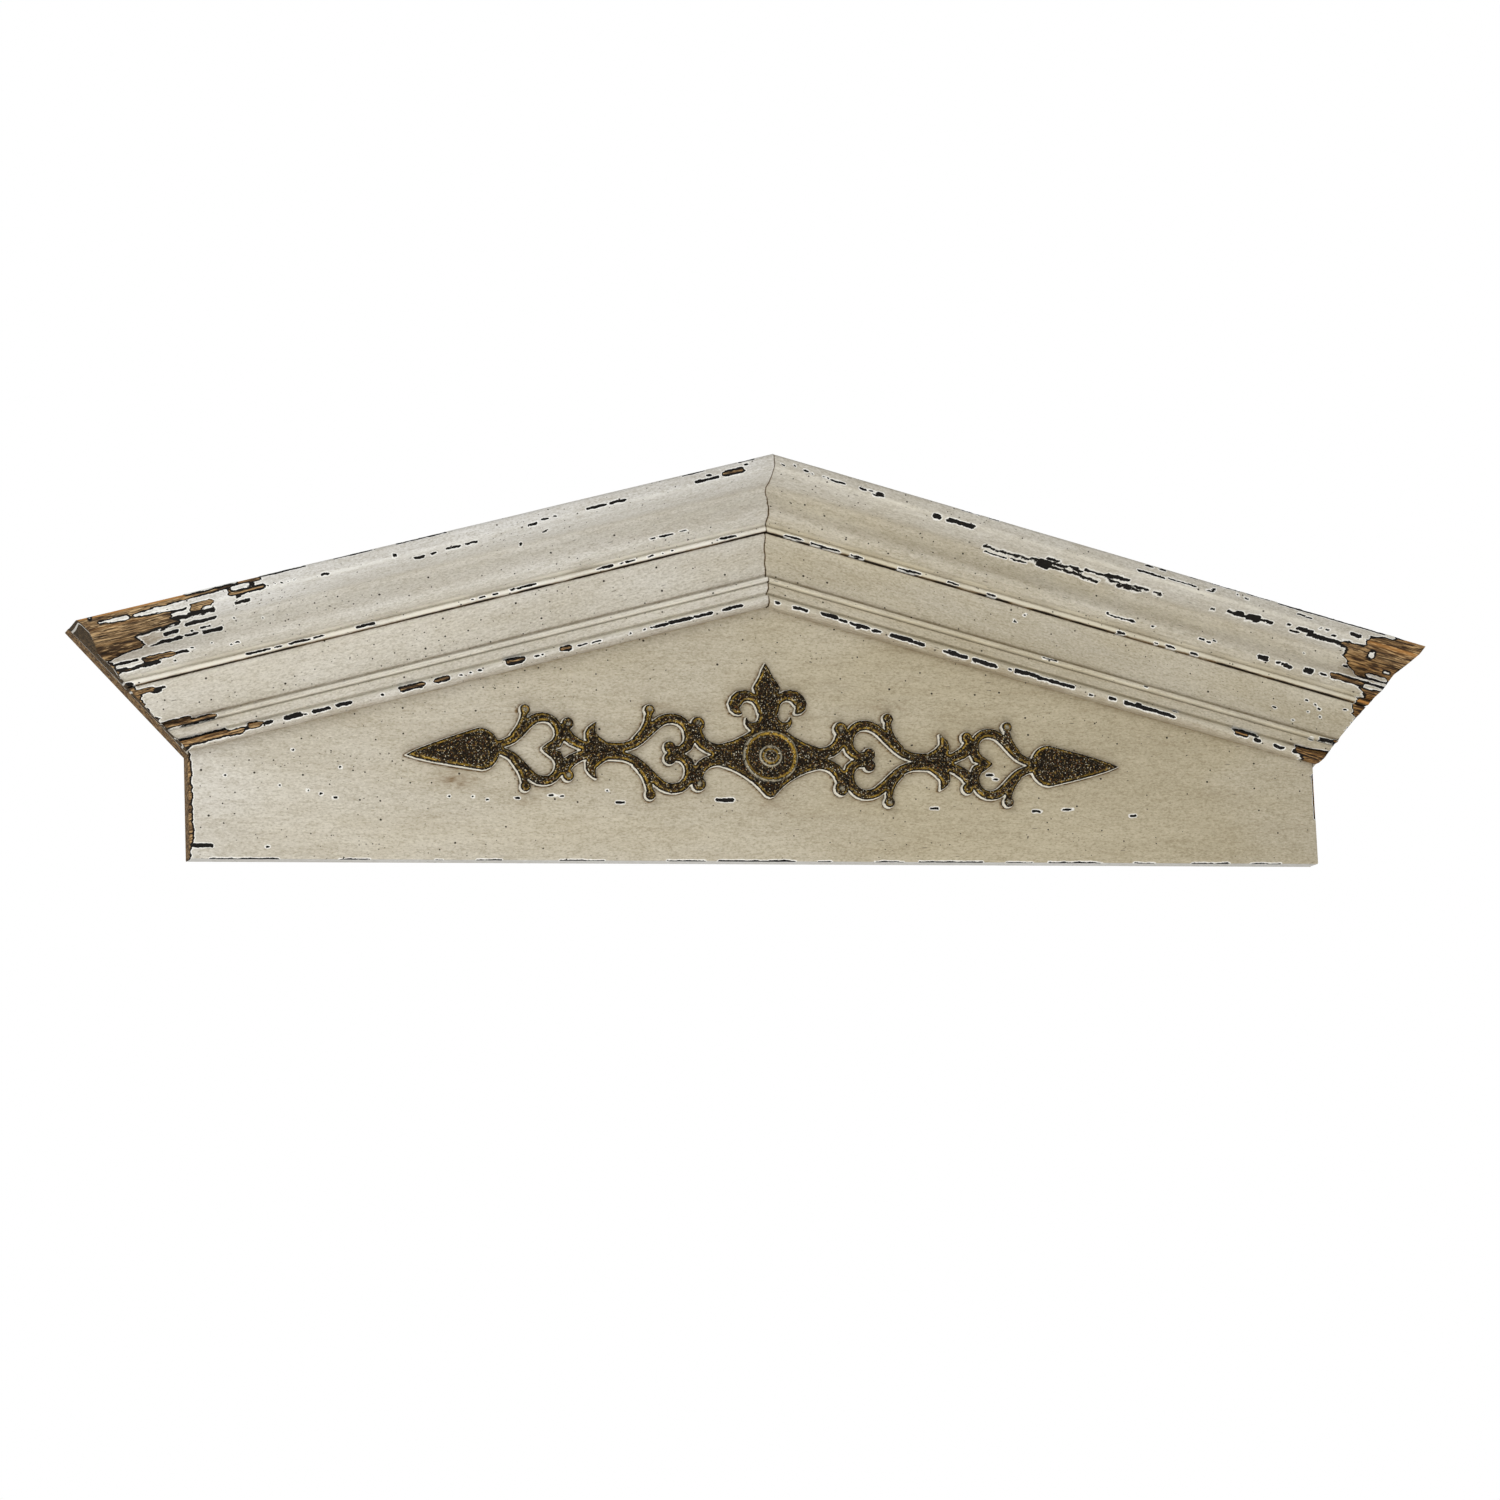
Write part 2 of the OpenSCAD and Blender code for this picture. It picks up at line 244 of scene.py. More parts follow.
CHIPS_LEFT = (
    # nose
    (463.5, 495, 9.8, 4.8), (486, 490, 13, 1.4), (472, 478, 6, 3), (492, 495, 7, 9),
    (475.5, 491, 17, 1.9), (407, 415, 12, 1.8), (348, 352, 10.5, 3.6), (324, 333, 16, 1.8),
    (312, 318, 15.5, 1.6), (275, 287, 14.5, 1.6), (290, 304, 14.7, 1.8), (221, 231, 12, 2.2),
    (211, 217, 10, 1.8), (203, 206, 9.5, 1.5), (158, 177, 10, 2.4), (141, 156, 9.8, 2.6),
    (53, 77, 9.3, 2.6), (60, 65, 6, 2), (30, 50, 8, 5.6), (24, 29, 4.5, 2), (17, 34, 0.4, 1.8),
    (64, 86, 0.7, 1.5), *((at, at + 2, 10.5, 1.5) for at in (460, 454, 448, 442, 437)),
    (300, 345, 0.8, 1.2), (365, 400, 0.8, 1.2), (424, 440, 1, 1.6), (440, 464, 1, 1.8),
    # under the nose and in the cove
    (210, 215, 18.5, 1.2), (232, 235, 22.5, 1.2), (86, 93, 44, 1.3), (98, 112, 44, 1.5),
    (115, 122, 44, 1.3), (537, 551, 25.6, 3), (500, 519, 31.5, 3.4), (521, 533, 30.6, 2.2),
    (535, 558, 31.2, 3), (557, 564, 32.2, 1.5), (504, 533, 22.7, 1.9), (509, 529, 12.3, 4.8),
    (517, 529, 14.2, 5), (507, 529, 17.8, 2.9), (526, 545, 17.6, 2.8), (532, 546, 13, 1.8),
    (513, 519, 27.3, 1.5), (509, 511.5, 27, 1.6), (524, 527, 27.7, 1.5), (488, 490.5, 26, 1.5),
    (464, 466, 31, 1.4), (513, 515, 42, 1.4), (529, 532, 42, 1.5), (491, 495, 46.4, 1.5),
    (545, 548, 48.8, 1.5), (497, 499, 47, 1.3),
    # band over the joint
    (42, 58, 57.5, 1.8), (120, 127, 57.5, 1.5), (136, 147, 57.5, 1.6), (156, 167, 57.5, 2.2),
    (167, 172, 57.6, 1.5), (227, 245, 57.4, 1.8), (246, 253, 57.5, 1.6), (261, 267, 57.5, 1.4),
    (274, 281, 57.5, 1.5), (372, 391, 57.4, 2.2), (418, 429, 57.5, 1.6), (431, 437, 57.5, 1.5),
    (436, 450, 57.4, 1.7), (456, 461, 57.5, 1.5), (464, 487, 57.4, 1.8), (60, 62, 57.5, 1.3),
    (102, 104, 57.5, 1.3), (110, 112, 57.5, 1.3), (149, 151, 57.5, 1.3), (284, 287, 57.5, 1.3),
    # bead along the lower edge
    (55, 73, 117.5, 2.6), (82, 101, 117.5, 3), (101, 123, 117.4, 3.2), (124, 137, 117.5, 2.8),
    (138, 141, 117.5, 1.6), (145, 148, 117.5, 1.6), (158, 161, 117.5, 1.6), (185, 196, 117.6, 1.5),
    (199, 207, 117.6, 1.5), (212, 223, 116.6, 5.2), (238, 241, 117.5, 1.8), (242, 248, 117.5, 1.8),
    (255, 273, 116.3, 6.9), (295, 298, 117.5, 1.8), (303, 305, 117.5, 1.8), (311, 314, 117.5, 1.8),
    (323, 338, 116.8, 5), (346, 369, 116.8, 6), (382, 386, 117.5, 2), (411, 425, 117.4, 3),
    (429, 446, 117.4, 3.2), (450, 454, 117.5, 2), (454, 471, 116.8, 4.6), (480, 489, 117, 3),
    # loose ends near the bare tip
    (577, 603, 41, 2.2), (534, 562, 43.6, 2.6), (546, 575, 42.8, 5), (560, 603, 46.8, 3.4),
    (585, 600, 59, 3.6), (558, 571, 67, 2.2), (562, 571, 69, 2.4), (568, 590, 66.4, 4.8),
    (524, 562, 100, 5), (545, 583, 98.6, 7.4), (481, 489, 117.2, 3.6), (489, 502, 115.9, 7.2),
    (500, 509, 117, 3.8), (506, 520, 118, 5.4), (517, 580, 116.4, 8.6),
)
CHIPS_RIGHT = (
    # nose
    (9, 11, 8.5, 1.6), (20, 22.5, 5.5, 1.8), (30, 33, 7.5, 1.8), (36, 38.5, 8.3, 1.5), (47, 49, 8, 1.4),
    (51, 53, 8, 1.5), (54, 69, 9.2, 1.8), (80, 88, 9, 2), (89, 94, 8, 1.3), (93, 100, 11, 1.3),
    (97, 105, 9.2, 4), (151, 159, 13.5, 3.6), (163, 166, 14, 1.4), (165, 190, 13.2, 2.8),
    (175, 192, 0.9, 1.6), (200, 212, 0.8, 1.3), (342, 370, 9.3, 1.9), (350, 358, 2.2, 2),
    (362, 370, 2, 1.8), (372, 380, 8.6, 1.5), (380, 400, 8.7, 1.3), (408, 415, 9, 1.4),
    (412.5, 416, 8, 2.2), (414, 418, 6, 2.2), (437, 440, 5, 1.6), (444, 449, 6, 1.4),
    (497, 505, 6.2, 1.8), (505, 511, 6.8, 1.4), (549, 561, 10.3, 3.6), (478, 514, 1.1, 2.6),
    (500, 518, 17, 2.2), (512, 546, 18.6, 2.2), (497, 505, 19.3, 1.2), (512, 602, 1.1, 2.1),
    (393, 400, 0.8, 1.3), (413, 440, 0.8, 1.5), (447, 470, 0.8, 1.4), (520, 523, 13, 1.3),
    (526, 529, 13, 1.3), (534, 538, 15.5, 1.6), (491, 494, 16.5, 1.3),
    # scratches and the knot under the nose
    (207, 252, 21.9, 0.9), (210, 232, 24.3, 1), (234, 250, 23.8, 0.9), (250, 263, 21.4, 1.3),
    (257, 271, 21.8, 4), (262, 276, 18.7, 1.3), (271, 284, 20.5, 1.4), (284, 292, 19.6, 1),
    (289, 299, 20.6, 1.4), (262, 300, 22.2, 1), (298, 326, 19, 1.2), (300, 317, 22.8, 1),
    (318, 341, 18.2, 1.8), (322, 346, 20.8, 1), (334, 346, 21.7, 1.4), (346, 362, 20.1, 1),
    (345, 357, 21.5, 0.9), (366, 375, 20.2, 0.9), (420, 426, 19.9, 1.1), (435, 444, 19, 1.3),
    (442, 451, 18.5, 3), (451, 454, 18.7, 1.3), (454, 467, 18.4, 3.8), (467, 479, 18.3, 1.4),
    # cove
    (331, 334, 46.6, 2.4), (333, 358, 48, 1), (353, 357, 47.4, 2.4), (374, 378, 47, 1.4),
    (419, 425, 46, 1.5), (427, 431, 46.6, 1.7), (432, 436, 44.4, 1.3), (476, 487, 46.5, 4.2),
    (494, 499, 46.8, 2.2), (500, 503, 47, 1.8), (503, 511, 47.3, 3), (521, 532, 46.3, 4.6),
    (537, 543, 45.6, 2.4), (519, 521, 31, 1.5), (558, 563, 31.5, 2), (546, 580, 44.4, 5),
    (553, 602, 42.2, 2.4), (551, 568, 101.2, 2.4), (565, 575, 100, 5),
    # band over the joint
    (33, 44, 59.2, 1.9), (43, 51, 58.8, 1.5), (57, 71, 59.2, 2), (70, 76, 59.6, 1.3), (74, 84, 59.3, 1.7),
    (93, 98, 59.5, 1.5), (98, 106, 59.5, 1.6), (138, 149, 59.3, 1.7), (148, 161, 58.8, 1.9),
    (184, 194, 58.5, 1.5), (221, 231, 58.8, 1.8), (346, 354, 59.2, 1.9), (393, 402, 58.9, 2.1),
    (416, 424, 59, 1.9), (382, 386, 59, 1.3),
    # casing
    (260, 263, 66.5, 2), (252, 255, 74, 1.8), (545, 549, 74, 2), (570, 573, 68.5, 1.8),
    (548.5, 551, 80.7, 1.8), (533, 535, 70, 1.5), (541.5, 544, 71.5, 1.5), (504, 507, 84, 1.5),
    (524, 526.5, 90.5, 1.6), (537, 539.5, 79, 1.5), (380, 385, 99.6, 1.5), (542, 547, 103.5, 1.8),
    (282, 297, 100, 0.9),
    # bead along the lower edge
    (37, 41, 119, 3), (53, 67, 118.5, 2.8), (79, 95, 117, 3.4), (88, 94, 115, 2.4), (96, 104, 118, 2.6),
    (106, 124, 118.5, 3.2), (111, 117, 120, 2.4), (127, 135, 118.7, 2.6), (143, 165, 118.5, 3.6),
    (165, 176, 119, 2.8), (194, 216, 119.4, 2.4), (197, 207, 117.5, 1.3), (211, 217, 119.3, 3.4),
    (221, 244, 119.4, 3), (260, 274, 118.5, 3.6), (272, 283, 117.8, 3), (282, 318, 118.8, 3),
    (349, 358, 118.7, 3.2), (365, 415, 119, 3.2), (376, 382, 116.8, 2.6), (412, 418, 113.5, 1.8),
    (469, 495, 114.4, 4.4), (471, 484, 117, 5), (490, 497, 119, 2.2), (509, 520, 119.3, 2.6),
    (530, 580, 115.4, 7), (527, 534, 118.6, 3.4), (537, 580, 120.6, 3.4), (332, 337, 120.8, 1.3),
    (255, 257, 119, 1.5),
)
# Where the bare ends begin, as (down, u) from the top edge to the foot
END_LEFT = (
    (-9, 463), (4.6, 465), (5.2, 498), (6.4, 530), (7, 545), (10.3, 547), (10.8, 566), (12, 545),
    (17, 544), (19.5, 538), (21.8, 537), (22.6, 573), (27, 568), (30, 566.5), (32.6, 570), (33.2, 581),
    (34, 589), (36.5, 598), (45.8, 598), (46, 570), (48.2, 571), (48.8, 595), (54.5, 595), (57, 592),
    (60.5, 584.5), (63.9, 583), (71.7, 579), (76.7, 578.3), (84.4, 578), (87.8, 575.5), (91.7, 570),
    (94.4, 572), (101.5, 569), (104, 571), (105, 567), (108, 567), (110, 568), (112, 560), (120, 552),
    (122.8, 556),
)
END_RIGHT = (
    (-9, 600), (0, 600), (2, 594), (3.9, 581), (6.6, 573), (8.6, 567.4), (11.9, 565.4), (15.6, 566.8),
    (16, 545), (19.4, 545), (20.5, 551.5), (24.5, 558), (29, 562), (32.4, 566), (36.4, 570),
    (38.6, 572.7), (39, 603), (46.5, 598), (46.8, 573), (49, 578), (51.6, 580.6), (53.2, 586), (55, 578),
    (58, 577), (61, 576.4), (66, 577.4), (69.5, 580), (71.5, 582.6), (76.8, 582), (82, 578),
    (87.4, 575.6), (94.6, 574.3), (98, 574), (100, 568), (103, 572), (110, 568), (112.4, 531),
    (116.5, 530.3), (119.8, 531), (122, 538), (122.8, 540),
)


def end_depth(edges, u, down):
    """How deep each place lies past the edge of a bare end; negative before it."""
    near = np.full(u.shape, 9.0)
    for (h0, u0), (h1, u1) in zip(edges, edges[1:]):
        du = u1 - u0
        dh = h1 - h0
        along = np.clip(((u - u0) * du + (down - h0) * dh) / (du ** 2 + dh ** 2), 0, 1)
        away = np.hypot(u - u0 - along * du, down - h0 - along * dh)
        near = np.minimum(near, away)
    return near * np.sign(u - line_of(edges, down))


# Painted islands left on the bare ends, as (start, end, middle, height)
KEPT_LEFT = ((484, 530, 0.4, 1.6), (475, 490, 5.4, 2.4), (520, 562, 8.2, 3.4), (550, 577, 8.8, 2.4),
             (581, 600, 8.3, 2.6), (598, 606, 8, 1.3), (530, 543, 15.1, 2.6), (575, 589, 44, 3.6),
             (611, 613, 1.5, 1.8), (600, 604, 36.7, 1.4))
KEPT_RIGHT = ((575, 580.5, 20, 2.8), (598, 603, 27.4, 1.6), (582, 602, 34.4, 4),
              (583.5, 592.5, 1, 6), (572, 602, 39.2, 1.5))


def moulding_wear(side, u, down):
    """Depth inside the bare wood over a moulding, in mm, with ragged edges."""
    seed = 10 if side < 0 else 20
    shift = layered_noise(u / 7, down / 2.4, seed) * 2
    lift = layered_noise(u / 4, down / 3, seed + 2) * 0.6
    tear = lift + layered_noise(u / 9, down / 2.2, seed + 6) * 0.9
    chips = CHIPS_LEFT if side < 0 else CHIPS_RIGHT
    kept = KEPT_LEFT if side < 0 else KEPT_RIGHT
    ends = END_LEFT if side < 0 else END_RIGHT
    wear = chip_depth(u + shift, down + lift, chips)
    torn = layered_noise(u / 16, down / 1.3, seed + 4) * 2.5
    torn += layered_noise(u / 40, down / 6, seed + 8) * 14 * ramp(down, -4, -10)
    wear = np.maximum(wear, end_depth(ends, u + shift + torn, down + tear))
    return np.minimum(wear, -chip_depth(u + shift, down + tear, kept))


# Brown glaze in the hollows, and painted highlights below zero that lift edges and shaded hollows: (down,
# half height, strength)
HOLLOWS_AND_HIGHLIGHTS = ((12.6, 1.8, -0.6), (16.4, 1.6, -0.3), (32, 4, -0.4), (38.8, 3, 0.1), (51.8, 0.5, 0.2),
           (53.2, 1.1, -1.2), (55.6, 0.6, 0.8), (58.3, 2, -1.4), (60.6, 0.75, 2.5), (64, 3, -0.35),
           (96.4, 0.8, 0.5), (99.3, 1.1, -1), (101.8, 0.8, -1), (110.9, 0.6, -0.4),
           (114, 2, -0.85), (117.2, 1, -0.4), (120.2, 1.1, 0.3), (122.4, 0.8, 0.5))
# Wood tones on the bare ends: (u, down, half length, half height, strength), dark above zero, partly
# painted shade under the nose; below zero a painted orange highlight along the nose's top edge
TONES_AND_LIGHT_LEFT = ((560, 0.3, 90, 2.2, -1.5), (590, 29, 45, 7, 0.7), (545, 100, 30, 5, 0.5))
TONES_AND_LIGHT_RIGHT = ((560, 0.8, 70, 2, -1.3), (575, 32, 18, 6, 1), (600, 14, 40, 5, -0.3),
               (550, 113, 30, 2, 1.2), (545, 121, 30, 2.2, -0.35))


def moulding_glaze_and_painted_light(side, u, down):
    """Brown glaze and painted light over a moulding, from -1.5 at the palest painted highlight to 2 at
    its darkest.
    """
    glaze_and_painted_light = np.zeros(u.shape)
    for row, (middle, half, strength) in enumerate(HOLLOWS_AND_HIGHLIGHTS):
        patchy = 0.75 + 0.5 * layered_noise(u / 23, down / 9 + row, 31 + row)
        glaze_and_painted_light += strength * patchy * np.exp(-(((down - middle) / half) ** 2))
    streaks = layered_noise(u / 75, down / 4.5, 45 + side)
    glaze_and_painted_light += 0.16 * np.clip(streaks, 0, 1) * ramp(u, 620, 20)
    for mid_u, mid, long, tall, strength in TONES_AND_LIGHT_LEFT if side < 0 else TONES_AND_LIGHT_RIGHT:
        glaze_and_painted_light += strength * np.exp(-((u - mid_u) / long) ** 4 - ((down - mid) / tall) ** 2)
    crack = abs(u - mitre_u(down) - mitre_wander(down) * side / COS_R)
    joint = line_of(MITRE_DARK, down) * np.exp(-(crack / 0.6) ** 2)
    return np.clip(glaze_and_painted_light + joint, -1.5, 2)


def moulding_patina_and_shade(side, u, out, down):
    """How yellow and dull the paint has gone, from 0 to 1, with painted shade darker on the right side
    and further back from the front.
    """
    # painted shade: more yellow and dull further back from the front and on the right side
    left = ((0, 0.55), (12, 0.42), (18, 0.34), (26, 0.08), (40, 0.0), (45, 0.0))
    right = ((0, 0.85), (12, 0.8), (18, 0.7), (26, 0.42), (34, 0.36), (45, 0.42))
    depth = line_of(left if side < 0 else right, out)
    return depth + 0.14 * layered_noise(u / 60, down / 20, 42 + side)


# ---- mouldings

MITRE_WANDER = ((0, 0.2), (20, -0.4), (40, 1.5), (54, 0.3), (60, 0), (97, -0.3), (99, 1),
                (107, 1.9), (112, 0.4), (123, 1.4))
# Glaze along the mitre joint, as (down, strength)
MITRE_DARK = ((0, 0.7), (20, 0.9), (30, 1.7), (123, 1.7))
MITRE_GAP = 0.45
# Spacing of the mesh along the rake, its first places past the mitre, and its spacing across
# the rake, on the front and behind TOP_FRONT on the flat top
COLUMN = 1.6
NEAR_MITRE = (0, 0.3, 0.6, 1, 1.6)
ROW = 0.72
TOP_ROW = 3.5
TOP_FRONT = -6
# The outer end's cut face, as (inset, glaze, wear): dark edges with a thin line of paint between
END_RINGS = ((0, 1.5, BARE), (2.2, 1.5, BARE), (3, -0.3, -0.9), (4.4, -0.3, -0.9),
             (5.2, 1.6, BARE), (7.4, 1.5, BARE), (8.6, 1.05, BARE))
# How far chips lie below the paint, and how far the old wood sags
RECESS = 0.5
SAG = 0.18


def resample(profile):
    """The section with softened corners as out, down, across, and its outward directions.
    Across runs like down, but goes on below zero over the flat top."""
    fine = 0.2
    lengths = np.concatenate([[0], np.cumsum(np.hypot(*np.diff(profile, axis=0).T))])
    s = np.arange(0, lengths[-1], fine)
    out = np.interp(s, lengths, profile[:, 0])
    down = np.interp(s, lengths, profile[:, 1])
    reach = 6
    kernel = bell(reach)

    def soften(line):
        padded = np.concatenate([2 * line[0] - line[reach:0:-1], line,
                                 2 * line[-1] - line[-2:-reach - 2:-1]])
        return np.convolve(padded, kernel, "valid")

    out = soften(out)
    down = soften(down)
    across = np.where(s < lengths[1], down - (lengths[1] - s), down)
    density = np.cumsum(np.where(across < TOP_FRONT, 1 / TOP_ROW, 1 / ROW)) * fine
    picks = np.searchsorted(density, np.arange(0, density[-1], 1))
    picks = np.unique(np.append(picks, len(s) - 1))
    slope_out = np.gradient(out)
    slope_down = np.gradient(down)
    size = np.hypot(slope_out, slope_down)
    normal = np.stack([slope_down / size, -slope_out / size], axis=1)
    return out[picks], down[picks], across[picks], s[picks], normal[picks]


def recess(wear):
    """How far the surface is sunk where the paint is gone."""
    return RECESS * ramp(wear, -0.3, 0.5)


def mitre_wander(down):
    """How far the mitre joint strays to the right of the middle."""
    return line_of(MITRE_WANDER, down) + 0.45 * smooth_noise(down / 2.7, down * 0, 55)


def cut_face(out, down, u, first):
    """Rings of points and faces over the sloping outer end of a moulding."""
    centre = np.array([out.mean() * 0.5, (down.min() + down.max()) / 2])
    edge = np.stack([out, down], axis=1)
    reach = np.linalg.norm(edge - centre, axis=1, keepdims=True)
    ray = (edge - centre) / reach
    rows = len(out)
    rings = [edge - ray * np.minimum(inset, reach * inset / 10) for inset, _, _ in END_RINGS]
    faces = []
    for k in range(len(rings) - 1):
        near = first + k * rows
        far = near + rows
        faces += [(near + i, near + (i + 1) % rows, far + (i + 1) % rows, far + i)
                  for i in range(rows)]
    faces.append(tuple(range(first + (len(rings) - 1) * rows, first + len(rings) * rows)))
    flat = np.vstack(rings)
    along = np.tile(u - end_u(down), len(rings)) + end_u(flat[:, 1])
    return along, flat, faces


def moulding(name, node, side, top):
    """One raking moulding, with its chips cut in, in place of its CAD node."""
    out, down, across, s, normal = resample(mitre_profile(node))
    start = mitre_u(down) + (mitre_wander(down) * side + MITRE_GAP / 2) / COS_R
    stop = end_u(down)
    length = (stop - start).max()
    first_steps = np.array(NEAR_MITRE) / length
    t = np.append(first_steps, np.linspace(first_steps[-1], 1, int(length / COLUMN))[1:])
    cols = len(t)
    u = start[:, None] + (stop - start)[:, None] * t
    wide = np.ones(cols)
    across_all = across[:, None] * wide
    wear = moulding_wear(side, u, across_all)
    sag = SAG * layered_noise(u / 60, across_all / 25, 51)
    lost = recess(wear) + np.maximum(sag, 0)
    deep_out = np.maximum(out[:, None] - normal[:, :1] * lost, 0)
    deep_down = down[:, None] - normal[:, 1:] * lost
    points = rake_to_row(side, u, deep_down, deep_out).reshape(-1, 3)
    points[:, 2] = np.minimum(points[:, 2], APEX_Z)
    number = top + 2 * side
    grain = np.stack([u + 700 * number, s[:, None] * wide, np.full(u.shape, 37.0 * number)],
                     axis=-1)
    glaze_and_painted_light = moulding_glaze_and_painted_light(side, u, across_all)
    rows = len(down)
    faces = grid_faces(rows, cols, flip=side < 0)
    last = (rows - 1) * cols
    back = [(last + j, last + j + 1, j + 1, j) for j in range(cols - 1)]
    faces += [f[::-1] for f in back] if side < 0 else back
    yellow_and_shade = moulding_patina_and_shade(side, u, out[:, None] * wide, across_all)
    data = {"wear": wear.ravel(), "glaze_and_painted_light": glaze_and_painted_light.ravel(), "grain": grain.reshape(-1, 3) * MM,
            "patina_and_shade": yellow_and_shade.ravel()}
    first = len(points)
    joint = points.reshape(rows, cols, 3)[:, 0]
    ring = list(range(first, first + rows))
    faces.append(ring[::-1] if side > 0 else ring)
    along, flat, cut = cut_face(deep_out[:, -1], deep_down[:, -1], u[:, -1], first + rows)
    faces += cut if side > 0 else [f[::-1] for f in cut]
    outer = rake_to_row(side, along, flat[:, 1], np.maximum(flat[:, 0], 0))
    count = rows * len(END_RINGS)
    points = np.vstack([points, joint, outer])
    _, glazes_and_painted_light, wears = zip(*END_RINGS)
    joint_grain = np.stack([s * 0, s, out], axis=1)
    cut_grain = np.stack([flat[:, 0] * 4, flat[:, 1], flat[:, 0]], axis=1)
    data["wear"] = np.concatenate([data["wear"], np.full(rows, BARE), np.repeat(wears, rows)])
    data["glaze_and_painted_light"] = np.concatenate([data["glaze_and_painted_light"], np.full(rows, 1.5), np.repeat(glazes_and_painted_light, rows)])
    data["patina_and_shade"] = np.append(data["patina_and_shade"], np.full(rows + count, 0.3))
    data["grain"] = np.vstack([data["grain"], joint_grain * MM, cut_grain * MM])
    obj = new_mesh(name, points, faces, data)
    for face in obj.data.polygons[len(faces) - len(cut) - 1:]:
        face.use_smooth = False
    return obj


# ---- board

# Chips on the board's front, in mm from the middle and up from the lower edge
CHIPS_BOARD = (
    (-51, -34, 53, 3), (-139, -131, 50, 1.9), (-148, -144, 60, 1.8), (-189, -184, 55, 1.8),
    (-198, -192, 55.6, 1.7), (-228, -222, 53, 1.9), (142, 152, 47, 1.9), (-253, -250, 51, 1.8),
    (-265, -262, 54, 1.8), (-285, -282, 54, 1.8), (196, 203, 77, 2.1), (202, 208, 73, 2),
    (-504, -485, 11, 3.4), (-441, -438, 10.5, 1.8), (-488, -430, 0.1, 1.3), (-380, -352, 0, 1),
    (-298, -290, 0, 1), (-262, -240, 0, 1.1), (-190, -150, 0, 1.1), (-96, -60, 0, 1.2),
    (-50, 20, 0.1, 1.4), (-4, 14, 0.4, 1.8), (40, 52, 0, 1), (90, 118, 0, 1.1), (130, 190, 0.1, 1.4),
    (210, 236, 0, 1), (250, 300, 0.1, 1.3), (330, 350, 0, 1), (384, 420, 0.1, 1.4), (440, 470, 0, 1),
    (503.4, 506, 60, 40), (237, 246, 45, 1.8), (264, 276, 47, 1.7), (327, 335, 42, 1.8),
    (-430, -427, 62, 1.9), (-475, -472, 70, 1.8), (-406, -403, 58, 1.8), (-395, -391, 55, 1.8),
    (-384, -379, 52, 1.8), (-378, -375, 78, 1.8), (-418, -415, 92, 2),
)
# Brown stains: (x, height, half width, half height, strength)
STAINS = (
    (-278, 68, 17, 7, 0.8), (-210, 124, 40, 4, 0.35), (105, 134, 22, 3.5, 0.45),
    (-105, 134, 22, 3.5, 0.4), (158, 108, 9, 7, 0.5), (-158, 108, 8, 6, 0.45), (0, 48, 16, 5, 0.4),
    (30, 120, 10, 8, 0.3), (214, 52, 16, 4, 0.35), (-214, 50, 16, 4, 0.35),
)
# Yellowed paint across the board with painted shade, darker towards the right, as (x, strength)
YELLOW_AND_SHADE = ((-505, 0.35), (-440, 0.55), (-300, 0.68), (-175, 0.78), (0, 0.85), (175, 1.05),
          (350, 1.2), (430, 0.95), (505, 0.85))
# How far in the wood is bare along the left edge, as (height, mm)
LEFT_EDGE = ((0, 1), (12, 1.6), (14, 4), (60, 3.4), (88, 2.4), (100, -3))
EDGE_ROUND = 1.3
# The fine front ends at this level; one flat triangle stands over it
ROOF = FLOOR_Z + 226
# Points of the fine sheets along x, z and y
BOARD_STEPS = (420, 190, 12)


def outline_tree(edges):
    """Search tree over points set closely along edges given as pairs of (x, z) in mm."""
    spots = []
    for a, b in edges:
        a = np.array(a)
        b = np.array(b)
        count = max(1, int(np.hypot(*(b - a)) / 0.25))
        spots += [a + (b - a) * i / count for i in range(count)]
    tree = KDTree(len(spots))
    for i, spot in enumerate(spots):
        tree.insert((spot[0], 0, spot[1]), i)
    tree.balance()
    return tree


def round_edges(points, low, high):
    """Rounds the edges of a block's surface points."""
    inner = np.clip(points, low + EDGE_ROUND, high - EDGE_ROUND)
    away = points - inner
    size = np.maximum(np.linalg.norm(away, axis=-1, keepdims=True), 1e-9)
    return np.where(size > EDGE_ROUND, inner + away / size * EDGE_ROUND, points)


def board_sheets():
    """Fine grids over the board's front, lower edge and two side edges."""
    across, tall, deep = BOARD_STEPS
    xs = np.linspace(-HALF_W, HALF_W, across)
    heights = np.linspace(0, 1, tall)
    zs = FLOOR_Z + heights * (ROOF - FLOOR_Z)
    ys = np.linspace(FRONT, 0, deep)
    x, z = np.meshgrid(xs, heights, indexing="ij")
    z = FLOOR_Z + z * (np.minimum(ROOF, APEX_Z - SLOPE * abs(x)) - FLOOR_Z)
    sheets = [(np.stack([x, x * 0 + FRONT, z], axis=-1), False)]
    x, y = np.meshgrid(xs, ys, indexing="ij")
    sheets.append((np.stack([x, y, x * 0 + FLOOR_Z], axis=-1), True))
    z, y = np.meshgrid(np.append(zs[zs < FOOT_Z], FOOT_Z), ys, indexing="ij")
    for side in (-1, 1):
        sheets.append((np.stack([z * 0 + side * HALF_W, y, z], axis=-1), side < 0))
    # high lies behind the back and over the apex, so no edge is rounded there
    low = np.array([-HALF_W, FRONT, FLOOR_Z])
    high = np.array([HALF_W, 50, APEX_Z])
    points = np.zeros((0, 3))
    faces = []
    for sheet, flip in sheets:
        faces += grid_faces(*sheet.shape[:2], len(points), flip)
        points = np.vstack([points, round_edges(sheet, low, high).reshape(-1, 3)])
    return points, faces


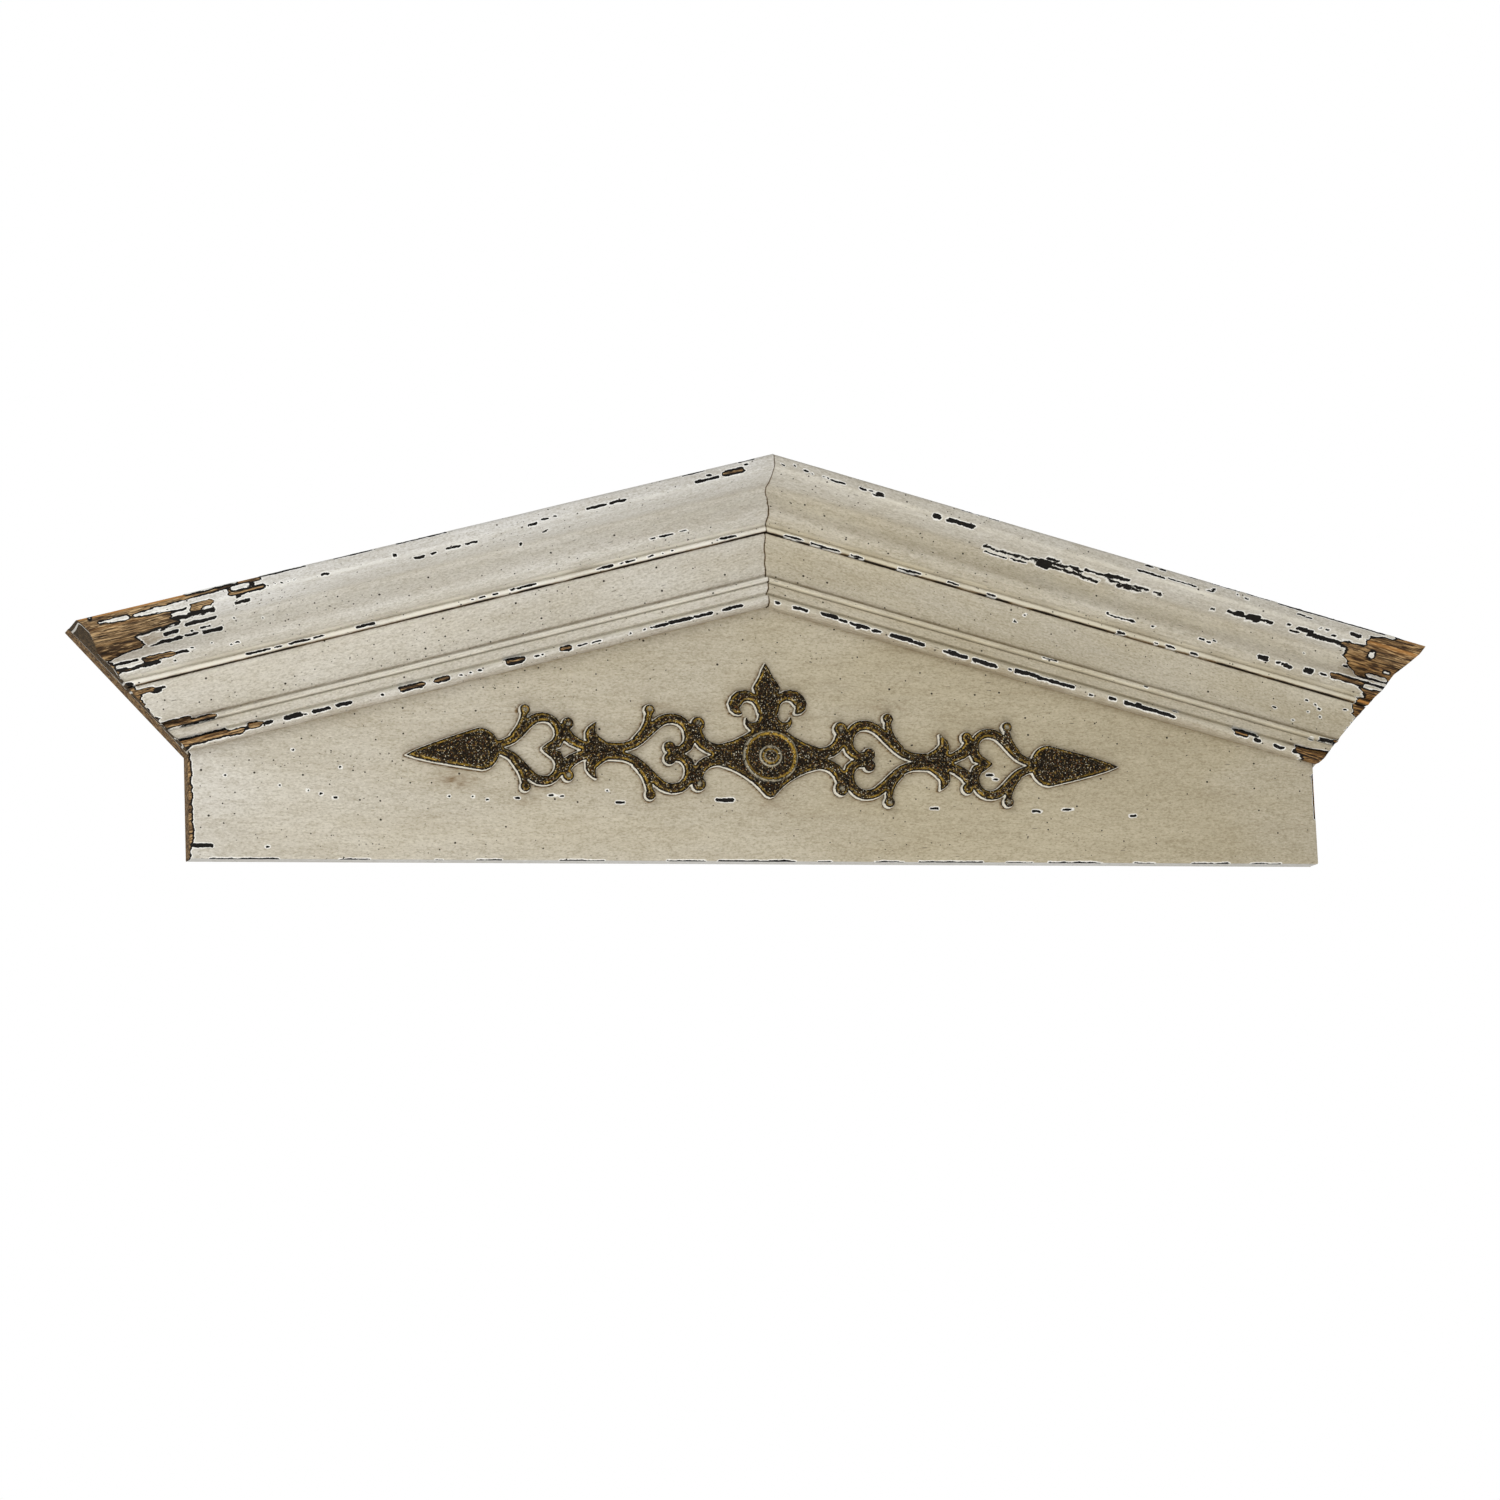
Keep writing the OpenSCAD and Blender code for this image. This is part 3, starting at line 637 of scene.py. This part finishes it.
def board_wear(x, y, up):
    """Depth inside the bare wood over the board's fine sheets, in mm."""
    shift = layered_noise(x / 6, up / 5, 61) * 1.2
    lift = layered_noise(x / 5, up / 4, 63) * 0.6
    wear = chip_depth(x + shift, up + lift, CHIPS_BOARD)
    rubbed = layered_noise(x / 14, up / 14, 65) * 1.6 - 1.7
    wear = np.maximum(wear, rubbed - abs(up) * 1.2)
    ragged = layered_noise(up / 3, y / 9, 67) * 1.2
    wear = np.maximum(wear, line_of(LEFT_EDGE, up) + ragged - HALF_W - x)
    wear = np.where(x < 0.1 - HALF_W, np.maximum(wear, 3.5 + ragged), wear)
    torn = np.clip(20 + 2 * ragged - abs(up - 60), FAR_OUTSIDE, 3.5)
    return np.where(x > HALF_W - 0.7, np.maximum(wear, torn), wear)


def board_glaze_and_painted_shade(x, z, up, reach):
    """Brown glaze and stains over the board's fine sheets, with painted shade in a dark line at the
    ornament's foot; reach is the distance from the ornament.
    """
    # painted shade: a dark line hugging the ornament's foot, with a faint brown dirt halo further out
    glaze_and_painted_light = 1.5 * np.exp(-(reach / 0.8) ** 2) + 0.2 * np.exp(-reach / 5)
    glaze_and_painted_light *= 0.8 + 0.5 * layered_noise(x / 9, up / 9, 71)
    patchy = 0.6 + 0.6 * layered_noise(x / 5, up / 4, 73)
    for cx, cz, wide, tall, strength in STAINS:
        far = np.hypot((x - cx) / wide, (up - cz) / tall)
        glaze_and_painted_light += strength * np.exp(-far ** 2) * patchy
    under = (APEX_Z - z) * COS_R - abs(x) * SIN_R - CASING_FOOT
    glaze_and_painted_light += 0.45 * np.exp(-np.maximum(under, 0) / 1.2)
    return glaze_and_painted_light + 0.14 * np.clip(layered_noise(x / 60, up / 4, 77), 0, 1)


def board_rest(first):
    """The flat faces: the CAD board's back, holes and slopes, and the front's three corners.
    Gives points, whether each is bare wood, and faces with point numbers from first on."""
    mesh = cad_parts["board"].data
    points = []
    bare = []
    faces = []
    for face in mesh.polygons:
        corners = np.array([mesh.vertices[i].co[:] for i in face.vertices]) / MM
        flat_front = corners[:, 1].max() < FRONT + FLAT
        lowest = corners[:, 2].max() < FLOOR_Z + FLAT
        side_face = abs(abs(corners[:, 0]) - HALF_W).max() < FLAT
        if flat_front or lowest or side_face:
            continue
        faces.append([first + len(points) + i for i in range(len(corners))])
        points += corners.tolist()
        at_end = np.ptp(corners[:, 1]) > 1 and abs(corners[:, 0]).min() > HALF_W - 0.1
        bare += [at_end and abs(face.normal.x) > 0.5] * len(corners)
    under_peak = (APEX_Z - ROOF) / SLOPE
    left, right = [[(side * HALF_W, FRONT, FOOT_Z), (side * TIP_X, FRONT, TIP_Z),
                    (side * HALF_W, FRONT, APEX_Z - SLOPE * HALF_W)] for side in (-1, 1)]
    peak = [(-under_peak, FRONT, ROOF), (under_peak, FRONT, ROOF), (0, FRONT, APEX_Z)]
    for corner, order in ((left, -1), (right, 1), (peak, 1)):
        faces.append([first + len(points) + i for i in range(3)][::order])
        points += corner
        bare += [False] * 3
    return points, bare, faces


def board(tree):
    """The gabled board: a fine front and lower edges, and the CAD back with its two holes."""
    points, faces = board_sheets()
    x, y, z = points.T
    under_edge = (z < FLOOR_Z + 0.2) & (y > FRONT + EDGE_ROUND)
    up = z - FLOOR_Z - np.where(under_edge, y - FRONT - EDGE_ROUND, 0)
    wear = board_wear(x, y, up)
    points[:, 1] += np.where(y < -1, recess(wear), 0)
    glaze_and_painted_light = board_glaze_and_painted_shade(x, z, up, np.array([tree.find((p[0], 0, p[2]))[2] for p in points]))
    # yellowed paint with painted shade, darker towards the right
    yellow_and_shade = line_of(YELLOW_AND_SHADE, x) + 0.1 * layered_noise(x / 70, up / 25, 75)
    # the underside is plain paint without yellowing, painted paler than the front as a painted highlight
    # for light from below; its glaze of -0.8 is clipped to zero
    glaze_and_painted_light = np.where(under_edge, -0.8, glaze_and_painted_light)
    yellow_and_shade = np.where(under_edge, 0, yellow_and_shade)
    rest, bare, flat_faces = board_rest(len(points))
    points = np.vstack([points, rest])
    data = {
        "wear": np.append(wear, np.where(np.array(bare), BARE, PAINTED)),
        "glaze_and_painted_light": np.append(np.clip(glaze_and_painted_light, 0, 2), np.full(len(rest), 0.15)),
        "patina_and_shade": np.append(yellow_and_shade, np.full(len(rest), 0.4)),
        "grain": np.stack([points[:, 0] + points[:, 1], points[:, 2] + points[:, 1],
                           points[:, 1] + 500], axis=1) * MM,
    }
    obj = new_mesh("board_painted", points, faces + flat_faces, data)
    for face in obj.data.polygons[len(faces):]:
        face.use_smooth = False
    return obj


# ---- ornament

# The ornament's grid, its edges' drop and width, its hammered relief, and its side walls' rows
CELL = 0.6
DROP = 2.4
ROUNDED = 1.7
HAMMER = 0.22
WALL_ROWS = (0.0, 0.35, 0.75, 1.0)


def blur(field, reach):
    """Softens a table of heights over a few cells."""
    kernel = bell(reach)
    for axis in (0, 1):
        field = np.apply_along_axis(lambda line: np.convolve(line, kernel, "same"), axis, field)
    return field


ROSETTE = (-2, -140)
ROSETTE_SIZE = (24.5, 22.2)
TURN = math.radians(1.3)
# Knobs with paint still on them, from the rosette's middle
PAINTED_KNOBS = ((-216.3, 33), (-179, 22.3), (-179, -22.3), (-64, 26), (-64, -26), (-107, 37.5),
                 (64, 26), (64, -26), (216.3, 33), (216.3, -33), (107, -37.5))


def ornament_lines(flat, depth):
    """Where gold shows along the edges and rings, and where white paint is left, from 0 to 1."""
    across = flat - np.array(ROSETTE)
    x = across[:, 0] * math.cos(TURN) - across[:, 1] * math.sin(TURN)
    z = across[:, 0] * math.sin(TURN) + across[:, 1] * math.cos(TURN)
    broken = 0.55 + 0.75 * layered_noise(x / 7, z / 7, 91)
    gold = np.exp(-((depth - 2.5) / 0.5) ** 2) * np.clip(broken * 1.2 - 0.2, 0, 1)
    chalk = np.zeros(len(flat))
    ring = np.hypot(x / ROSETTE_SIZE[0], z / ROSETTE_SIZE[1])
    on_disc = ring < 1.02
    gold = np.where(on_disc, 0, gold)
    for place, wide, strength in ((0.88, 0.03, 1), (0.27, 0.025, 0.7)):
        gold += strength * np.exp(-((ring - place) / wide) ** 2)
    for place, wide, strength in ((0.975, 0.025, 0.7), (0.385, 0.025, 0.8), (0.22, 0.02, 0.4)):
        chalk += strength * np.exp(-((ring - place) / wide) ** 2)
    for kx, kz in PAINTED_KNOBS:
        chalk += 0.5 * np.exp(-((np.hypot(x - kx, z - kz) / 1.9) ** 4))
    return np.clip(gold, 0, 1), np.clip(chalk, 0, 1)


def cast_heights(xs, zs):
    """How far the CAD ornament stands out from the board at each grid place."""
    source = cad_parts["ornament"].data
    caster = BVHTree.FromPolygons([v.co / MM for v in source.vertices],
                                  [p.vertices[:] for p in source.polygons])
    start = node_points("ornament")[:, 1].min() - 10
    tall = np.zeros((len(xs), len(zs)))
    for i, x in enumerate(xs):
        for j, z in enumerate(zs):
            hit = caster.ray_cast((x, start, z), (0, 1, 0))[0]
            if hit is not None and hit.y < FRONT + FLAT:
                tall[i, j] = FRONT - hit.y
    return tall


def grow(inside):
    """The marked grid places and all their neighbours."""
    near = inside.copy()
    near[1:, :] |= inside[:-1, :]
    near[:-1, :] |= inside[1:, :]
    grown = near.copy()
    grown[:, 1:] |= near[:, :-1]
    grown[:, :-1] |= near[:, 1:]
    return grown


def ornament(tree):
    """The cast ornament as one rounded relief with clean outlines and side walls."""
    corners = node_points("ornament")
    low = corners.min(axis=0)
    high = corners.max(axis=0)
    xs = np.arange(low[0] - 2 * CELL, high[0] + 3 * CELL, CELL)
    zs = np.arange(low[2] - 2 * CELL, high[2] + 3 * CELL, CELL)
    tall = cast_heights(xs, zs)
    inside = tall > 0.05
    weight = blur(inside.astype(float), 2)
    relief = blur(np.where(inside, tall, 0), 2) / np.maximum(weight, 1e-6)
    relief = np.where(weight > 1e-3, relief, tall[inside].min())
    wide = blur(relief, 5)
    # grid places just past the outline move onto it
    grown = grow(inside)
    spots = np.argwhere(grown)
    count = len(spots)
    index = -np.ones(inside.shape, dtype=int)
    index[grown] = np.arange(count)
    flat = np.zeros((count, 2))
    depth = np.zeros(count)
    for k, (i, j) in enumerate(spots):
        spot, _, reach = tree.find((xs[i], 0, zs[j]))
        if inside[i, j]:
            flat[k] = (xs[i], zs[j])
            depth[k] = reach
        else:
            flat[k] = (spot.x, spot.z)
    edge_drop = DROP * (1 - np.sqrt(1 - (1 - np.clip(depth / ROUNDED, 0, 1)) ** 2))
    hammer = HAMMER * layered_noise(flat[:, 0] / 4.5, flat[:, 1] / 4.5, 81)
    rise = relief[spots[:, 0], spots[:, 1]] - edge_drop + hammer * np.clip(depth / 2, 0, 1)
    rise = np.minimum(rise, tall.max())
    rubbed = (relief - wide)[spots[:, 0], spots[:, 1]]
    gold, chalk = ornament_lines(flat, depth)
    faces = []
    for i in range(len(xs) - 1):
        for j in range(len(zs) - 1):
            if inside[i:i + 2, j:j + 2].any():
                faces.append([index[i, j], index[i + 1, j], index[i + 1, j + 1], index[i, j + 1]])
    rim = rim_of(faces)
    used = sorted({k for pair in rim for k in pair})
    place = {k: n for n, k in enumerate(used)}
    top = np.stack([flat[:, 0], FRONT - rise, flat[:, 1]], axis=1)
    points = [top]
    for row in WALL_ROWS:
        block = top[used]
        block[:, 1] = FRONT - rise[used] * (1 - row)
        points.append(block)
    for a, b in rim:
        for row in range(len(WALL_ROWS) - 1):
            up = count + row * len(used)
            down = up + len(used)
            faces.append([up + place[b], up + place[a], down + place[a], down + place[b]])
    walls = np.zeros(len(used) * len(WALL_ROWS))
    data = {key: np.append(values, walls) for key, values in
            (("edge", depth), ("rubbed", rubbed), ("gold", gold), ("chalk", chalk))}
    data["wall"] = np.append(np.zeros(count), 0.5 + np.repeat(WALL_ROWS, len(used)))
    return new_mesh("ornament_cast", np.vstack(points), faces, data)


# ---- materials


def srgb(r, g, b):
    """A colour from 0 to 255 numbers, as linear light."""
    def linear(c):
        c = c / 255
        return c / 12.92 if c <= 0.04045 else ((c + 0.055) / 1.055) ** 2.4
    return (linear(r), linear(g), linear(b), 1)


class Shader:
    """Short calls for building one material's nodes."""

    def __init__(self, name):
        self.material = bpy.data.materials.new(name)
        self.material.use_nodes = True
        self.tree = self.material.node_tree
        self.surface = self.tree.nodes["Principled BSDF"]

    def node(self, kind, **values):
        made = self.tree.nodes.new(kind)
        for key, value in values.items():
            setattr(made, key, value)
        return made

    def plug(self, socket, value):
        if isinstance(value, bpy.types.NodeSocket):
            self.tree.links.new(value, socket)
        else:
            socket.default_value = value

    def field(self, name, vector=False):
        made = self.node("ShaderNodeAttribute", attribute_name=name)
        return made.outputs["Vector" if vector else "Fac"]

    def math(self, operation, a, b=0.0, clamp=False):
        made = self.node("ShaderNodeMath", operation=operation, use_clamp=clamp)
        self.plug(made.inputs[0], a)
        self.plug(made.inputs[1], b)
        return made.outputs[0]

    def add(self, a, b):
        return self.math("ADD", a, b)

    def times(self, a, b, clamp=False):
        return self.math("MULTIPLY", a, b, clamp)

    def swing(self, value, middle, size):
        """How far the value lies from the middle, times size."""
        return self.times(self.math("SUBTRACT", value, middle), size)

    def scaled(self, vector, x, y=1.0, z=1.0):
        made = self.node("ShaderNodeVectorMath", operation="MULTIPLY")
        self.plug(made.inputs[0], vector)
        made.inputs[1].default_value = (x, y, z)
        return made.outputs[0]

    def noise(self, vector, scale, detail=2.0, rough=0.5, distortion=0.0):
        made = self.node("ShaderNodeTexNoise")
        self.plug(made.inputs["Vector"], vector)
        made.inputs["Scale"].default_value = scale
        made.inputs["Detail"].default_value = detail
        made.inputs["Roughness"].default_value = rough
        made.inputs["Distortion"].default_value = distortion
        return made.outputs["Fac"]

    def specks(self, vector, scale, size, share):
        """Round specks in 2D: one inside or zero outside; size and share run from 0 to 1."""
        made = self.node("ShaderNodeTexVoronoi", voronoi_dimensions="2D")
        self.plug(made.inputs["Vector"], vector)
        made.inputs["Scale"].default_value = scale
        draws = self.node("ShaderNodeSeparateColor")
        self.plug(draws.inputs[0], made.outputs["Color"])
        radius = self.span(draws.outputs[1], 0, 1, size * 0.5, size, False)
        inside = self.math("LESS_THAN", made.outputs["Distance"], radius)
        return self.times(inside, self.math("LESS_THAN", draws.outputs[0], share))

    def span(self, value, low, high, to_low=0.0, to_high=1.0, smooth=True):
        kind = "SMOOTHSTEP" if smooth else "LINEAR"
        made = self.node("ShaderNodeMapRange", interpolation_type=kind)
        self.plug(made.inputs[0], value)
        for place, number in zip((1, 2, 3, 4), (low, high, to_low, to_high)):
            made.inputs[place].default_value = number
        return made.outputs[0]

    def mix(self, factor, a, b, blend="MIX"):
        made = self.node("ShaderNodeMix", data_type="RGBA", blend_type=blend)
        self.plug(made.inputs[0], factor)
        self.plug(made.inputs[6], a)
        self.plug(made.inputs[7], b)
        return made.outputs[2]

    def tint(self, base, value, low, high, most, color):
        """Lays a colour over the base, from none at low to the share most at high."""
        return self.mix(self.span(value, low, high, 0, most), base, srgb(*color))

    def mix_value(self, factor, a, b):
        made = self.node("ShaderNodeMix", data_type="FLOAT")
        self.plug(made.inputs[0], factor)
        self.plug(made.inputs[2], a)
        self.plug(made.inputs[3], b)
        return made.outputs[0]

    def finish(self, color, roughness, gloss, height, distance, strength):
        """Plugs the look into the surface, with height as a bump of the given distance."""
        bump = self.node("ShaderNodeBump")
        bump.inputs["Strength"].default_value = strength
        bump.inputs["Distance"].default_value = distance
        self.plug(bump.inputs["Height"], height)
        self.plug(self.surface.inputs["Base Color"], color)
        self.plug(self.surface.inputs["Roughness"], roughness)
        self.plug(self.surface.inputs["Normal"], bump.outputs["Normal"])
        self.surface.inputs["Specular IOR Level"].default_value = gloss
        return self.material


# Specks in the paint: cells a metre, stretch, radius in cells, noise from, to, share, strength
SPECKS = ((110, 0.9, 0.08, 0.48, 0.62, 0.4, 0.95), (52, 0.9, 0.05, 0.3, 0.55, 0.35, 0.95),
          (230, 0.8, 0.14, 0.58, 0.7, 0.35, 0.7), (170, 0.16, 0.07, 0.52, 0.66, 0.4, 0.55))


def painted_wood():
    """Satin cream paint over brown wood, broken where the wear field says so."""
    m = Shader("painted_wood")
    grain = m.field("grain", vector=True)
    glaze_and_painted_light = m.field("glaze_and_painted_light")
    patina_and_shade = m.field("patina_and_shade")
    along = m.scaled(grain, 0.22)
    short = m.scaled(grain, 0.5)
    # ragged chip edges
    ragged = m.add(m.swing(m.noise(short, 800, 2, 0.6), 0.44, 1.1),
                   m.swing(m.noise(short, 260, 2, 0.55), 0.48, 1.3))
    depth = m.add(m.field("wear"), ragged)
    bare = m.span(depth, -0.05, 0.08)
    # bare wood: black at the broken edge of the paint, brown with pale and dark fibres inside, then
    # yellowed with painted shade, given a painted orange highlight and darkened with glaze and painted
    # shade
    streak = m.noise(m.scaled(grain, 0.05), 330, 4, 0.75, 0.25)
    fibre = m.noise(m.scaled(grain, 0.14), 620, 2, 0.6)
    vein = m.noise(m.scaled(grain, 0.045), 190, 3, 0.6)
    split = m.math("ABSOLUTE", m.math("SUBTRACT", vein, 0.5))
    wood = m.tint(srgb(86, 65, 42), streak, 0.42, 0.6, 1, (174, 142, 100))
    wood = m.tint(wood, fibre, 0.53, 0.64, 0.85, (218, 187, 140))
    wood = m.tint(wood, fibre, 0.46, 0.38, 0.85, (48, 32, 18))
    wood = m.tint(wood, split, 0.022, 0.008, 0.85, (26, 17, 9))
    # yellowed wood, with painted shade darker on the right and further back
    wood = m.mix(patina_and_shade, wood, m.mix(1.0, wood, srgb(198, 172, 122), "MULTIPLY"))
    # painted highlight: orange on bare wood where the glaze field is below zero, along the nose's top
    # edge
    wood = m.tint(wood, glaze_and_painted_light, -0.3, -1.2, 0.6, (212, 148, 74))
    # dark glaze on bare wood, partly painted shade under the nose
    wood = m.tint(wood, glaze_and_painted_light, 0.35, 1.2, 0.8, (46, 38, 23))
    # black at the paint's broken edge and in small chips: dirt with painted shade under the paint's edge
    wood = m.mix(m.span(depth, 1.1, 1.9), srgb(12, 8, 5), wood)
    # paint: mottled, with painted highlights on edges and shaded hollows, yellowed with painted shade,
    # with brown glaze and dirt partly painted shade, and a pale lip at chips as a painted highlight
    grit = m.noise(short, 760, 2, 0.65)
    smear = m.noise(m.scaled(grain, 0.3), 480, 3, 0.65)
    paint = m.tint(srgb(210, 207, 200), m.noise(along, 26, 3, 0.55), 0.35, 0.68, 1, (221, 219, 214))
    paint = m.tint(paint, m.noise(along, 420, 3, 0.7), 0.46, 0.62, 0.3, (170, 163, 145))
    paint = m.tint(paint, grit, 0.52, 0.66, 0.4, (150, 143, 124))
    paint = m.tint(paint, grit, 0.44, 0.36, 0.35, (246, 245, 240))
    # painted highlight: the glaze field below zero lifts edges and shaded hollows towards white
    paint = m.mix(m.span(glaze_and_painted_light, -1.1, -0.05, 0.95, 0), paint, srgb(248, 247, 240))
    # yellowed paint, with painted shade darker on the right and further back
    paint = m.mix(patina_and_shade, paint, m.mix(1.0, paint, srgb(215, 205, 180), "MULTIPLY"))
    # brown dirt and glaze, with painted shade such as the dark line at the ornament's foot
    dirt_and_shade = m.times(glaze_and_painted_light, m.span(smear, 0.3, 0.66, 0.45, 1.25), clamp=True)
    paint = m.mix(dirt_and_shade, paint, srgb(116, 92, 58))
    paint = m.tint(paint, glaze_and_painted_light, 0.95, 1.5, 1, (34, 27, 18))
    # a pale lip round the chips, a painted highlight
    paint = m.mix(m.times(m.span(depth, -1.1, -0.35), 0.75), paint, srgb(248, 247, 241))
    # dark specks and fine dashes in the paint
    for scale, stretch, size, low, high, share, strength in SPECKS:
        crowd = m.span(m.noise(along, scale * 0.2, 2, 0.6), low, high, 0.02, share)
        spot = m.specks(m.scaled(grain, stretch), scale, size, crowd)
        paint = m.mix(m.times(spot, strength), paint, srgb(40, 31, 20))
    brush = m.noise(m.scaled(grain, 0.1), 900, 2, 0.5)
    skin = m.add(m.times(brush, 0.5), m.times(grit, 0.8))
    height = m.add(m.times(m.math("SUBTRACT", 1.0, bare), 1.4),
                   m.times(m.mix_value(bare, skin, streak), 0.6))
    roughness = m.span(bare, 0, 1, 0.5, 0.75, False)
    return m.finish(m.mix(bare, paint, wood), roughness, 0.25, height, 0.0003, 0.75)


def aged_bronze():
    """Dark patina with gold rubbed along the ridges, and paint left on the side walls, with dirt and
    painted shade at their foot.
    """
    m = Shader("aged_bronze")
    place = m.node("ShaderNodeNewGeometry").outputs["Position"]
    edge = m.field("edge")
    fine = m.noise(place, 640, 2, 0.6)
    tiny = m.noise(place, 780, 1, 0.5)
    coarse = m.noise(place, 260, 3, 0.65)
    broad = m.noise(place, 45, 2, 0.5)
    speckle = m.noise(place, 430, 2, 0.7)
    # dark metal with brown, rust and pale specks
    color = m.tint(srgb(20, 16, 10), coarse, 0.35, 0.66, 1, (44, 35, 22))
    color = m.tint(color, speckle, 0.59, 0.66, 0.85, (158, 130, 72))
    color = m.tint(color, speckle, 0.44, 0.36, 0.9, (13, 10, 7))
    color = m.tint(color, fine, 0.61, 0.68, 0.7, (126, 82, 46))
    color = m.tint(color, tiny, 0.64, 0.7, 0.85, (210, 203, 180))
    # gold on the high places and along the lines, and chalky paint
    patchy = m.add(m.swing(coarse, 0.5, 1.4), m.swing(broad, 0.5, 1.8))
    high = m.span(m.add(m.field("rubbed"), patchy), 0.7, 1.1, 0, 0.4)
    gold = m.math("MAXIMUM", high, m.times(m.field("gold"), m.span(speckle, 0.36, 0.5)))
    color = m.mix(m.times(gold, 0.9), color, srgb(204, 166, 66))
    chalk = m.times(m.field("chalk"), m.span(coarse, 0.36, 0.5))
    color = m.mix(chalk, color, srgb(196, 190, 168))
    # a dark rim, pale paint over the edge and walls, and dirt with painted shade at their foot
    color = m.mix(m.times(m.span(edge, 0.9, 1.9, 1, 0), 0.9), color, srgb(15, 12, 8))
    painted = m.span(m.add(edge, m.swing(coarse, 0.5, 1.2)), 0.4, 0.65, 1, 0)
    color = m.mix(painted, color, srgb(226, 222, 209))
    # painted shade with dirt: the lowest part of the walls darkens where they meet the board
    foot = m.add(m.field("wall"), m.swing(coarse, 0.5, 0.5))
    color = m.tint(color, foot, 1.0, 1.2, 1, (48, 38, 26))
    metal = m.times(m.math("SUBTRACT", 1.0, painted), m.span(gold, 0, 1, 0.25, 0.7))
    m.plug(m.surface.inputs["Metallic"], metal)
    height = m.add(m.times(coarse, 0.9), m.times(fine, 0.5))
    roughness = m.span(fine, 0.3, 0.7, 0.45, 0.7, False)
    return m.finish(color, roughness, 0.1, height, 0.0006, 0.6)


# The floor's glow for the camera
FLOOR_GLOW = 0.55


def floor_white():
    """A matt pale floor that reads as a near-white background and keeps shadows."""
    m = Shader("floor_white")
    cloud = m.noise(m.node("ShaderNodeNewGeometry").outputs["Position"], 3)
    shade = m.tint(srgb(238, 238, 238), cloud, 0.3, 0.7, 0.08, (225, 225, 225))
    m.plug(m.surface.inputs["Base Color"], shade)
    m.surface.inputs["Roughness"].default_value = 0.9
    m.surface.inputs["Emission Color"].default_value = (1, 1, 1, 1)
    seen = m.node("ShaderNodeLightPath").outputs["Is Camera Ray"]
    m.plug(m.surface.inputs["Emission Strength"], m.times(seen, FLOOR_GLOW))
    return m.material


# ---- camera and light

FLOOR_HALF = 40000
FLOOR_LEVEL = -3000
# The world's strength as light, and as background
WORLD_LIGHT = 0.5
WORLD_SEEN = 1.0
# Lamps as (name, place, size, power, colour), aimed at the part
LAMPS = (("key", (-2.2, -2.8, 1.8), 1.6, 37, (1.0, 0.988, 0.97)),
         ("fill", (-1.2, -2.6, -1.25), 1.8, 25, (1.0, 0.988, 0.97)),
         ("bounce", (-0.2, -1.0, -1.4), 1.3, 9.5, (1.0, 0.99, 0.975)))
LAMP_AIM = (0, 0, -0.05)


def camera():
    """Looks up at the pediment from the lower left."""
    around = math.radians(17.277)
    below = math.radians(9.388)
    roll = math.radians(-2.2216)
    distance = 4.15
    target = Vector((-0.01796, -0.018, -0.1336))
    away = Vector((-math.sin(around) * math.cos(below), -math.cos(around) * math.cos(below),
                   -math.sin(below)))
    right = Vector((math.cos(around), -math.sin(around), 0))
    up = away.cross(right)
    turned_right = right * math.cos(roll) + up * math.sin(roll)
    turned_up = up * math.cos(roll) - right * math.sin(roll)
    data = bpy.data.cameras.new("camera")
    data.sensor_width = 36
    data.lens = 116.196
    data.clip_start = 0.1
    data.clip_end = 50
    obj = bpy.data.objects.new("camera", data)
    axes = Matrix((turned_right, turned_up, away)).transposed().to_4x4()
    obj.matrix_world = Matrix.Translation(target + away * distance) @ axes
    bpy.context.collection.objects.link(obj)
    bpy.context.scene.camera = obj


def lights():
    """Soft studio light from the upper left, with a wide weak fill."""
    for name, place, size, power, color in LAMPS:
        data = bpy.data.lights.new(name, "AREA")
        data.shape = "SQUARE"
        data.size = size
        data.energy = power
        data.color = color
        obj = bpy.data.objects.new(name, data)
        obj.location = place
        obj.rotation_euler = (Vector(LAMP_AIM) - Vector(place)).to_track_quat("-Z", "Y").to_euler()
        bpy.context.collection.objects.link(obj)
    world = bpy.data.worlds.new("studio")
    world.use_nodes = True
    bpy.context.scene.world = world
    tree = world.node_tree
    back = tree.nodes["Background"]
    path = tree.nodes.new("ShaderNodeLightPath")
    pick = tree.nodes.new("ShaderNodeMapRange")
    pick.inputs[3].default_value = WORLD_LIGHT
    pick.inputs[4].default_value = WORLD_SEEN
    tree.links.new(path.outputs["Is Camera Ray"], pick.inputs[0])
    tree.links.new(pick.outputs[0], back.inputs["Strength"])
    back.inputs["Color"].default_value = (1, 1, 1, 1)
    bpy.context.scene.view_settings.view_transform = "Standard"


def floor():
    """A plain pale floor far below the part."""
    half = FLOOR_HALF
    corners = ((-half, -half), (half, -half), (half, half), (-half, half))
    obj = new_mesh("floor", [(x, y, FLOOR_LEVEL) for x, y in corners], [(0, 1, 2, 3)], {},
                   smooth=False)
    obj.data.materials.append(floor_white())


def place_pieces():
    """Makes every piece, rides it on the one body and gives it its finish."""
    wood = painted_wood()
    bronze = aged_bronze()
    outline = outline_tree(footprint("ornament"))
    made = []
    for kind, top in (("crown", 1), ("casing", 0)):
        for word, side in (("left", -1), ("right", 1)):
            node = f"{kind}_{word}"
            obj = moulding(f"{node}_painted", node, side, top)
            made.append((obj, node, wood, "painted_wood"))
    made.append((board(outline), "board", wood, "painted_wood"))
    made.append((ornament(outline), "ornament", bronze, "aged_bronze"))
    for obj, node, material, slot in made:
        obj.data.materials.append(material)
        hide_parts(node)
        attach(obj, "root")


camera()
lights()
floor()
place_pieces()
